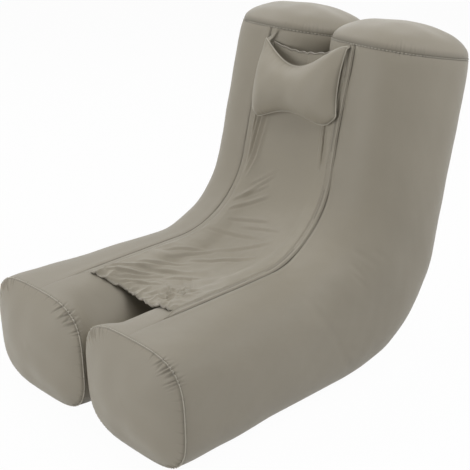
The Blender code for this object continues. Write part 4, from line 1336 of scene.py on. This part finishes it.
def sling_point(across, share, before=0.0, lift=0.0):
    """A point of the sling. The free cloth hangs below the line between its edges by sag (1 - across^2),
    and where a tube is higher it lies on that: the smooth greater of two heights a and b is (a + b +
    sqrt((a - b)^2 + k^2)) / 2."""
    front = sling_front(across)
    scallop = 0.0016 * np.sin(across * 26) * (1 - across**2)
    top = INNER_LENGTHS[3] - TOP_DROP - TOP_SAG * (1 - across**2) + TOP_SKEW * across + scallop
    away = share * (top - front)
    distance = front + away + before
    station = station_at(distance)
    middle, direction, depth, width, power = section(station)
    edge = seam_distance(np.sign(across), station) - SLING_EDGE

    def tube_height(x):
        inside = np.clip((x - TUBE_GAP - width / 2) / (width / 2), -0.9999, 0.9999)
        height = 0.6
        for _round in range(3):
            bent = shoulder(power, np.arctan2(height, inside), station)
            height = (1 - np.abs(inside) ** bent) ** (1 / bent)
        return depth / 2 * height - drawn_in(station)

    x = across * edge
    folds = sling_folds(x, distance, away)
    free = tube_height(edge) + SLING_LIFT - np.interp(share, *SLING_SAG_AT) * (1 - across**2)
    on_tube = tube_height(np.abs(x)) + SLING_CLEARANCE
    height = (free + on_tube + np.sqrt((free - on_tube) ** 2 + SLING_MELT**2)) / 2
    settle = ease((1 - np.abs(across)) / SLING_SETTLE)
    height = (height + folds) * settle + (tube_height(edge) + SLING_LIFT) * (1 - settle) + lift
    yz = middle + direction * height[..., None]
    return np.stack([x, yz[..., 0] - Y_MIDDLE, yz[..., 1] - FLOOR_CUT], axis=-1)


# %% The sling itself
across = crowded(150, 0.2)[None, :]
share = np.concatenate([np.linspace(0, 0.10, 50)[:-1], np.linspace(0.10, 1, 230)])[:, None]
sling_points = sling_point(across, share)
sling = wall(grid("sling", sling_points, flip=True), COVER_WALL)
dress(sling, sling_nylon, "sofa", "sling", "seat_sling")


# %% [markdown]
# The hems are tubes of the same cloth around a cord of elastic. Their casing is wrinkled crosswise, so the
# radius rises and falls along them. A tape binds each long edge of the sling to its tube: it rolls over the
# edge as a thin ridge, dips, and meets the piping.


# %% Hems and bindings
def hem(name, share, before, radius, wrinkle):
    """The casing along one end of the sling, its middle line a little beyond the sling's own edge."""
    across = np.linspace(-0.985, 0.985, 420)
    path = sling_point(across, np.full(across.shape, share), before, -0.0004)
    above = sling_point(across, np.full(across.shape, share), before, 0.0036)
    x = path[:, 0]
    swell = 1 + wrinkle * np.abs(np.sin(x * 2 * math.pi / 0.0115 + 1.2 * np.sin(x * 90)))
    piece = cord(f"{name}_casing", path, unit(above - path), radius * swell, sides=12, seam=0.12)
    return dress(piece, elastic_casing, "sofa", "elastic", f"{name}_elastic")


front_hem = hem("front_hem", 0.0, -0.0022, 0.0021, 0.35)
top_hem = hem("top_hem", 1.0, 0.0022, 0.0020, 0.20)


def binding(name, side):
    """A tape across the gap between the seam and the sling's edge. Its height follows a few stages across
    it, and its width opens out over the first 6 cm. The right one is flatter and stops shorter of the top
    seam."""
    short, tall, groove = (0.006, 1.0, 1.0) if side > 0 else (0.040, 0.45, 0.0)
    last = INNER_LENGTHS[3] - short
    distance = np.linspace(BINDING_START, last, 420)
    station = station_at(distance)
    opening = ease((distance - distance[0]) / 0.06)
    stage = np.linspace(0, 1, 41)
    marks = (0, 0.07, 0.16, 0.27, 0.40, 0.60, 0.74, 0.82, 0.89, 0.95, 1.0)
    heights = np.array((0.3, 1.7, 2.3, 2.1, 0.9, 0.8, 1.4, 3.2, 4.3, 4.2, 3.3)) / 1000
    height = np.interp(stage, marks, heights) * tall
    height[1:-1] = 0.5 * height[1:-1] + 0.25 * (height[:-2] + height[2:])
    beyond = BINDING_OUTER + stage[None, :] * (BINDING_WIDTH * opening[:, None] + BINDING_LEAST)
    angles = seam_angle(side, station[:, None], beyond)
    waver = 1 + 0.10 * np.sin(distance * 2 * math.pi / 0.031)[:, None] * stage[None, :]
    lift = 0.0004 + (height[None, :] * waver) * (0.25 + 0.75 * opening[:, None])
    points = tube_point(side, station[:, None], angles, lift)
    # painted shade: a dark line in the tape's middle valley, on the left tape only, and at its outer edge
    dip = groove * bell(stage - 0.55, 0.15) + 0.7 * bell(stage, 0.07)
    shaded = dip[None, :] * opening[:, None]
    piece = wall(grid(f"{name}_sling_tape", points, flip=side < 0, seam=shaded), TAPE_WALL)
    dress(piece, seam_tape, "sofa", "trim", f"{name}_sling_binding")
    first_row, stitched_column = 8, 26
    line = points[first_row:, stitched_column]
    above = outward(side, station[first_row:], angles[first_row:, stitched_column])
    dress(stitches(f"{name}_tape_stitch", line + 0.0001 * above, above), thread, "sofa", "trim")
    return piece


tapes = [binding(name, side) for name, side in SIDES.items()]
grid_sides = sling_points[1:, :-1] - sling_points[:-1, :-1], sling_points[:-1, 1:] - sling_points[:-1, :-1]


# %% [markdown]
# ## The join between the tubes
#
# A ribbon sewn to both covers keeps the tubes side by side. It sits a little below the middle of their
# facing sides, deep in the gap, and waves gently between the two seams.


# %% Ribbon
def ribbon():
    station = np.linspace(0.12, 2.88, 240)
    share = np.linspace(0, 1, 9)[None, :, None]
    edges = [tube_point(side, station, JOIN_ANGLE) for side in (1, -1)]
    points = edges[0][:, None] * (1 - share) + edges[1][:, None] * share
    across = section(station)[1]
    wave = 0.0006 * np.sin(np.linspace(0, 60, 240))[:, None] * np.sin(share[..., 0] * math.pi)
    points[..., 1] += across[:, None, 0] * wave
    points[..., 2] += across[:, None, 1] * wave
    piece = wall(grid("join_ribbon", points, flip=True), 0.0012)
    return dress(piece, seam_tape, "sofa", "trim", "centre_join_strip")


ribbon()

# %% [markdown]
# ## The pillow
#
# The head pillow is a bow tie that hangs by its two upper corners, so its top edge is hollowed more than
# its bottom edge. In its own axes x runs across, y up the back and z towards the sitter. The flat pattern
# is a grid of u and v from -1 to 1 between a lower and an upper curve. A blown or stuffed cover takes
# nearly the shape of a soap film under pressure, so the thickness is found by relaxing a film that is held
# at the seam.

# %% Sizes and flat pattern of the pillow
PILLOW_TOP = (0.0319, 0.0106, 4.899, -4.63, -70.5)
PILLOW_BOTTOM = (0.0857, 0.0935, 2.754, -7.96, -94.8)
PILLOW_SIDES = ((-0.1400, 0.0155, 0.0035), (0.1465, 0.0080, 0.0115))
PILLOW_CORNERS = (0.025, 0.008)
PILLOW_DROP, PILLOW_STANDOFF, PILLOW_LEAN = 0.116, 0.012, math.radians(4.7)
PILLOW_FRONT, PILLOW_BACK = 0.0445, 0.0150
WELT_RADIUS = 0.0017
PILLOW_HEADING = SEAT_RISE + CROOK_TURN
PILLOW_UP = np.array([0.0, math.cos(PILLOW_HEADING), math.sin(PILLOW_HEADING)])
PILLOW_OUT = np.array([0.0, -PILLOW_UP[2], PILLOW_UP[1]])
pillow_foot = inner_line(station_at(INNER_LENGTHS[3] - PILLOW_DROP))
PILLOW_MIDDLE = np.array([0.0, pillow_foot[0] - Y_MIDDLE, pillow_foot[1] - FLOOR_CUT])
PILLOW_MIDDLE = PILLOW_MIDDLE + PILLOW_OUT * PILLOW_STANDOFF


def on_pillow(x, y, z):
    """World points from the pillow's own axes, leaning a little in its plane."""
    x, y, z = np.broadcast_arrays(x, y, z)
    across = x * math.cos(PILLOW_LEAN) - y * math.sin(PILLOW_LEAN)
    up = x * math.sin(PILLOW_LEAN) + y * math.cos(PILLOW_LEAN)
    side = np.array([1.0, 0.0, 0.0])
    return PILLOW_MIDDLE + across[..., None] * side + up[..., None] * PILLOW_UP + z[..., None] * PILLOW_OUT


def pillow_pattern(u, v, inset=0.0):
    """The flat place (x, y) of u across and v up. Each side and each long edge is a curve c0 + c1 t + c2
    t^2 + ... with its own coefficients, and the two lower corners are lifted. inset draws the outline
    in."""
    left, right = (np.polynomial.polynomial.polyval(v, side) for side in PILLOW_SIDES)
    share = (u + 1) / 2
    x = (left + inset) * (1 - share) + (right - inset) * share
    top = np.polynomial.polynomial.polyval(x, PILLOW_TOP) - inset
    bottom = np.polynomial.polynomial.polyval(x, PILLOW_BOTTOM) - inset
    corner = np.where(u < 0, *PILLOW_CORNERS) * np.clip((np.abs(u) - 0.8) / 0.2, 0, 1) ** 1.5
    bottom = bottom - corner
    return x, -bottom + (v + 1) / 2 * (top + bottom)


def film_height(columns, rows, rounds):
    """A film held at the outline and pushed by an even pressure: each inner point moves again and again to
    the mean of its neighbours, weighted by their distances, plus a constant. The result is scaled to 1."""
    u, v = np.linspace(-1, 1, columns)[None, :], np.linspace(-1, 1, rows)[:, None]
    x, y = pillow_pattern(*np.broadcast_arrays(u, v))
    wide = 1 / (np.gradient(x, axis=1) ** 2)
    tall = 1 / (np.gradient(y, axis=0) ** 2)
    height = np.zeros((rows, columns))
    for _round in range(rounds):
        beside = height[1:-1, :-2] + height[1:-1, 2:]
        above = height[:-2, 1:-1] + height[2:, 1:-1]
        pull = wide[1:-1, 1:-1] * beside + tall[1:-1, 1:-1] * above + 1.0
        height[1:-1, 1:-1] = pull / (2 * wide[1:-1, 1:-1] + 2 * tall[1:-1, 1:-1])
    return height / height.max()


def sampled(values, u, v):
    """Values of a grid over u and v from -1 to 1, blended between its points."""
    rows, columns = values.shape
    column = (u + 1) / 2 * (columns - 1)
    row = (v + 1) / 2 * (rows - 1)
    left, low = np.clip(column.astype(int), 0, columns - 2), np.clip(row.astype(int), 0, rows - 2)
    right_share, high_share = column - left, row - low
    below = values[low, left] * (1 - right_share) + values[low, left + 1] * right_share
    above = values[low + 1, left] * (1 - right_share) + values[low + 1, left + 1] * right_share
    return below * (1 - high_share) + above * high_share


FILM = film_height(81, 57, 2600)


# %% Pillow covers
def pillow_half(name, depth, roundness, seed):
    """One half of the cover: thickness = depth film(u, v)^roundness, with short pleats running in from the
    seam."""
    u, v = np.broadcast_arrays(crowded(200, 0.55)[None, :], crowded(130, 0.55)[:, None])
    x, y = pillow_pattern(u, v)
    film = sampled(FILM, u, v)
    thick = abs(depth) * np.clip(film, 0, 1) ** roundness
    thick = thick * (1 - 0.12 * bell(x, 0.03) * bell(y + 0.06, 0.04))
    for corner_u in (-1, 1):
        thick = thick * (1 - 0.55 * bell(u - corner_u, 0.30) * bell(v - 1, 0.55))
    random = np.random.default_rng(seed)
    top_y, bottom_y = pillow_pattern(u, 1.0 + 0 * v)[1], pillow_pattern(u, -1.0 + 0 * v)[1]
    pleats = 0.0
    for edge, count, deep in ((top_y - y, 17, 0.8), (y - bottom_y, 21, 1.0)):
        for place in np.linspace(-0.14, 0.14, count) + random.uniform(-0.005, 0.005, count):
            width, length = random.uniform(0.0022, 0.0042), random.uniform(0.006, 0.016)
            slack = deep * random.uniform(0.0004, 0.0013)
            gap = np.abs(x - place - 0.3 * place * edge / 0.1) / width
            pleats = pleats + slack * crease(gap) * bell(edge, length)
    soft = 0.0007 * drift(x, y, 0.07, seed + 1)
    hold = np.clip(thick / 0.006, 0, 1)
    height = 0.0009 + thick + (soft + pleats) * hold
    near = np.minimum(np.minimum(top_y - y, y - bottom_y), (1 - np.abs(u)) * 0.15)
    # painted shade along the seam and in the pleats' valleys
    valley = 0.7 * bell(near, 0.0030) + np.clip(-260 * pleats, 0, 0.6) * bell(near, 0.02)
    points = on_pillow(x, y, math.copysign(1.0, depth) * height)
    uv = np.stack([x, y], axis=-1)
    piece = wall(grid(name, points, flip=depth > 0, uv=uv, seam=np.clip(valley, 0, 1)), COVER_WALL)
    return dress(piece, pillow_nylon, "pillow", "sling", f"{name}_cover")


pillow_half("pillow_front", PILLOW_FRONT, 0.60, 41)
pillow_half("pillow_back", -PILLOW_BACK, 0.85, 43)


def pillow_ring(count):
    """The seam of the pillow as an evenly spaced ring."""
    t = np.linspace(-1, 1, 500)
    one = np.ones(500)
    edges = [pillow_pattern(u, v) for u, v in ((t, -one), (one, t), (-t, one), (-one, -t))]
    x, y = (np.concatenate([edge[k][:-1] for edge in edges]) for k in (0, 1))
    x, y = np.append(x, x[0]), np.append(y, y[0])
    run = arc_lengths(np.stack([x, y], axis=-1), 0)
    at = np.linspace(0, run[-1], count, endpoint=False)
    return np.interp(at, run, x), np.interp(at, run, y)


ring_x, ring_y = pillow_ring(480)
welt = cord("pillow_cord", on_pillow(ring_x, ring_y, 0.0), PILLOW_OUT, WELT_RADIUS, closed=True)
dress(welt, piping_cloth, "pillow", "trim", "pillow_welt")


# %% Filling and straps
def pillow_filling():
    """The same bow tie drawn in by 10 mm and closed all round, for the fibre inside."""
    u = np.sin(np.linspace(-math.pi / 2, math.pi / 2, 60))[:, None] * 0.995
    turn = circle(56)[None, :]
    u, v = np.broadcast_arrays(u, np.cos(turn))
    x, y = pillow_pattern(u, v, 0.010)
    film = sampled(FILM, u * 0.93, np.zeros(u.shape)) ** 0.5
    end = np.sqrt(np.clip(1 - u**6, 0, 1))
    z = np.where(np.sin(turn) > 0, PILLOW_FRONT - 0.010, PILLOW_BACK - 0.005) * film * np.sin(turn) * end
    piece = grid("pillow_wadding", on_pillow(x, y, z), ring=True, caps=(True, True), flip=True)
    dress(piece, fibre, "pillow", "wadding", "pillow_filling")
    return piece


def pillow_strap(name, side):
    """A strip of tape from the top seam down to the pillow's upper corner: 4 mm wide where it is sewn in
    and 15 mm at the pillow, with a rib along each edge. It bends where the pillow flips."""
    u, x_top = side * 0.97, 0.150 if side > 0 else -0.104
    corner_x, corner_y = pillow_pattern(np.array(u), np.array(0.96))
    end = on_pillow(corner_x, corner_y, 0.0010)
    seam = tube_point(1, 3.0 - 0.006 / BACK_RUN, math.pi / 2, 0.003)
    start = np.array([x_top, seam[1], seam[2]])
    t = np.linspace(0, 1, 30)[:, None]
    path = start * (1 - t) + end * t - 0.004 * np.sin(t * math.pi) * PILLOW_OUT
    half = 0.002 + 0.0055 * ease(t * 1.1)
    stage = np.linspace(-1, 1, 17)[None, :]
    points = np.repeat(path[:, None], 17, axis=1)
    points[..., 0] += half * stage
    rise = 0.0010 * (0.5 - 0.5 * np.cos(stage * 2 * math.pi)) + 0.0006 * np.cos(stage * math.pi)
    points = points + rise[..., None] * PILLOW_OUT
    # painted shade along the strap's middle, between its ribs
    dark = 0.8 * bell(stage, 0.25) * ease(t * 2)
    piece = wall(grid(f"pillow_strap_{name}", points, seam=dark), 0.0009)
    piece.data.materials.append(seam_tape)
    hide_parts(f"pillow_tab_{name}")
    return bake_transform(piece)


pillow_filling()
for name, side in SIDES.items():
    pillow_strap(name, side)

# %% [markdown]
# ## Floor, light and camera
#
# The sofa stands on a white floor. Camera rays, and the rays that gloss sends out, see the floor and the
# sky as plain white. Seven soft lamps and a dim sky light the sofa, most of it from above and from the
# front, and each lamp is named after its side of the picture. The camera stands where the photographer
# stood: 48 degrees round to the sitter's left, looking down at 21 degrees through a long lens.

# %% Floor and sky
LENS, SENSOR = 92.52, 36.0
CAMERA_AZIMUTH, CAMERA_ELEVATION, CAMERA_DISTANCE = math.radians(47.82), math.radians(21.29), 3.128
PICTURE_SIDE, PICTURE_CENTRE = 470.0, (242.24, 238.01)
LOOKED_AT = np.array([0.0, 0.5 - Y_MIDDLE, 0.35 - FLOOR_CUT])


def seen_white(graph, glow, share, own_light):
    """A share of plain white for camera, glossy and transmitted rays, and the thing's own light for the
    rest."""
    rays = ("Camera", "Glossy", "Transmission")
    camera, glossy, passing = (graph.node("ShaderNodeLightPath", output=f"Is {ray} Ray") for ray in rays)
    part = camera.math("MAXIMUM", glossy).math("MAXIMUM", passing) * share
    white = graph.node(glow, {}, {"Color": (1, 1, 1, 1), "Strength": 1.0})
    return graph.node("ShaderNodeMixShader", {}, {0: part, 1: own_light, 2: white})


def floor(reach, level):
    corners_at = ((-reach, -reach), (reach, -reach), (reach, reach), (-reach, reach))
    plane = link("floor", [(x, y, level) for x, y in corners_at], [[0, 1, 2, 3]])
    coat = Finish("floor white", Base_Color=(0.86, 0.86, 0.86, 1), Roughness=0.9)
    mixed = seen_white(coat, "ShaderNodeEmission", 0.97, Socket(coat, coat.shader.outputs[0]))
    coat.tree.links.new(mixed.output, coat.tree.nodes["Material Output"].inputs["Surface"])
    plane.data.materials.append(coat.material)


def sky(level):
    world = bpy.data.worlds.new("studio")
    bpy.context.scene.world = world
    world.use_nodes = True
    graph = Graph(world.node_tree)
    grey = graph.node("ShaderNodeBackground", {}, {"Color": (1, 1, 1, 1), "Strength": level})
    mixed = seen_white(graph, "ShaderNodeBackground", 1.0, grey)
    graph.tree.links.new(mixed.output, graph.tree.nodes["World Output"].inputs["Surface"])


floor(9.0, -0.0004)
sky(0.05)


# %% Lamps and camera
def stand(piece, right, back, place):
    """Puts a lamp or a camera at a place, from its own right and the direction away from what it faces."""
    matrix = np.eye(4)
    matrix[:3, :3] = np.column_stack([right, np.cross(back, right), back])
    matrix[:3, 3] = place
    piece.matrix_world = Matrix(matrix.tolist())
    bpy.context.scene.collection.objects.link(piece)


def lamp(name, place, aim, size, power):
    """A square soft box that faces its aim."""
    data = bpy.data.lights.new(name, "AREA")
    data.size = size
    data.energy = power
    piece = bpy.data.objects.new(name, data)
    away = unit(np.subtract(place, aim))
    side = unit(np.cross((0.0, 0.0, 1.0), away))
    stand(piece, side, away, place)


def camera():
    right = np.array([math.cos(CAMERA_AZIMUTH), math.sin(CAMERA_AZIMUTH), 0.0])
    level = np.array([right[1], -right[0], 0.0])
    back = level * math.cos(CAMERA_ELEVATION) + (0.0, 0.0, math.sin(CAMERA_ELEVATION))
    data = bpy.data.cameras.new("camera")
    data.lens, data.sensor_width = LENS, SENSOR
    data.shift_x = (PICTURE_SIDE / 2 - PICTURE_CENTRE[0]) / PICTURE_SIDE
    data.shift_y = (PICTURE_CENTRE[1] - PICTURE_SIDE / 2) / PICTURE_SIDE
    piece = bpy.data.objects.new("camera", data)
    stand(piece, right, back, LOOKED_AT + back * CAMERA_DISTANCE)
    bpy.context.scene.camera = piece


AIM = (0.0, 0.0, 0.4)
for name, place, size, power in (
    ("high_left", (-2.4, -0.4, 3.2), 2.4, 52.0),
    ("high_right", (2.4, -0.6, 3.0), 2.4, 22.0),
    ("over_right", (1.6, 0.9, 3.6), 2.4, 46.0),
    ("front_low", (-0.8, -3.6, 1.0), 2.0, 53.0),
    ("back_left", (-2.2, 2.8, 2.4), 2.4, 22.0),
    ("right", (3.4, 0.4, 1.4), 2.4, 7.0),
    ("back_right", (2.2, 2.6, 2.0), 2.4, 22.0),
):
    lamp(name, place, AIM, size, power)
camera()
bpy.context.scene.view_settings.view_transform = "Standard"
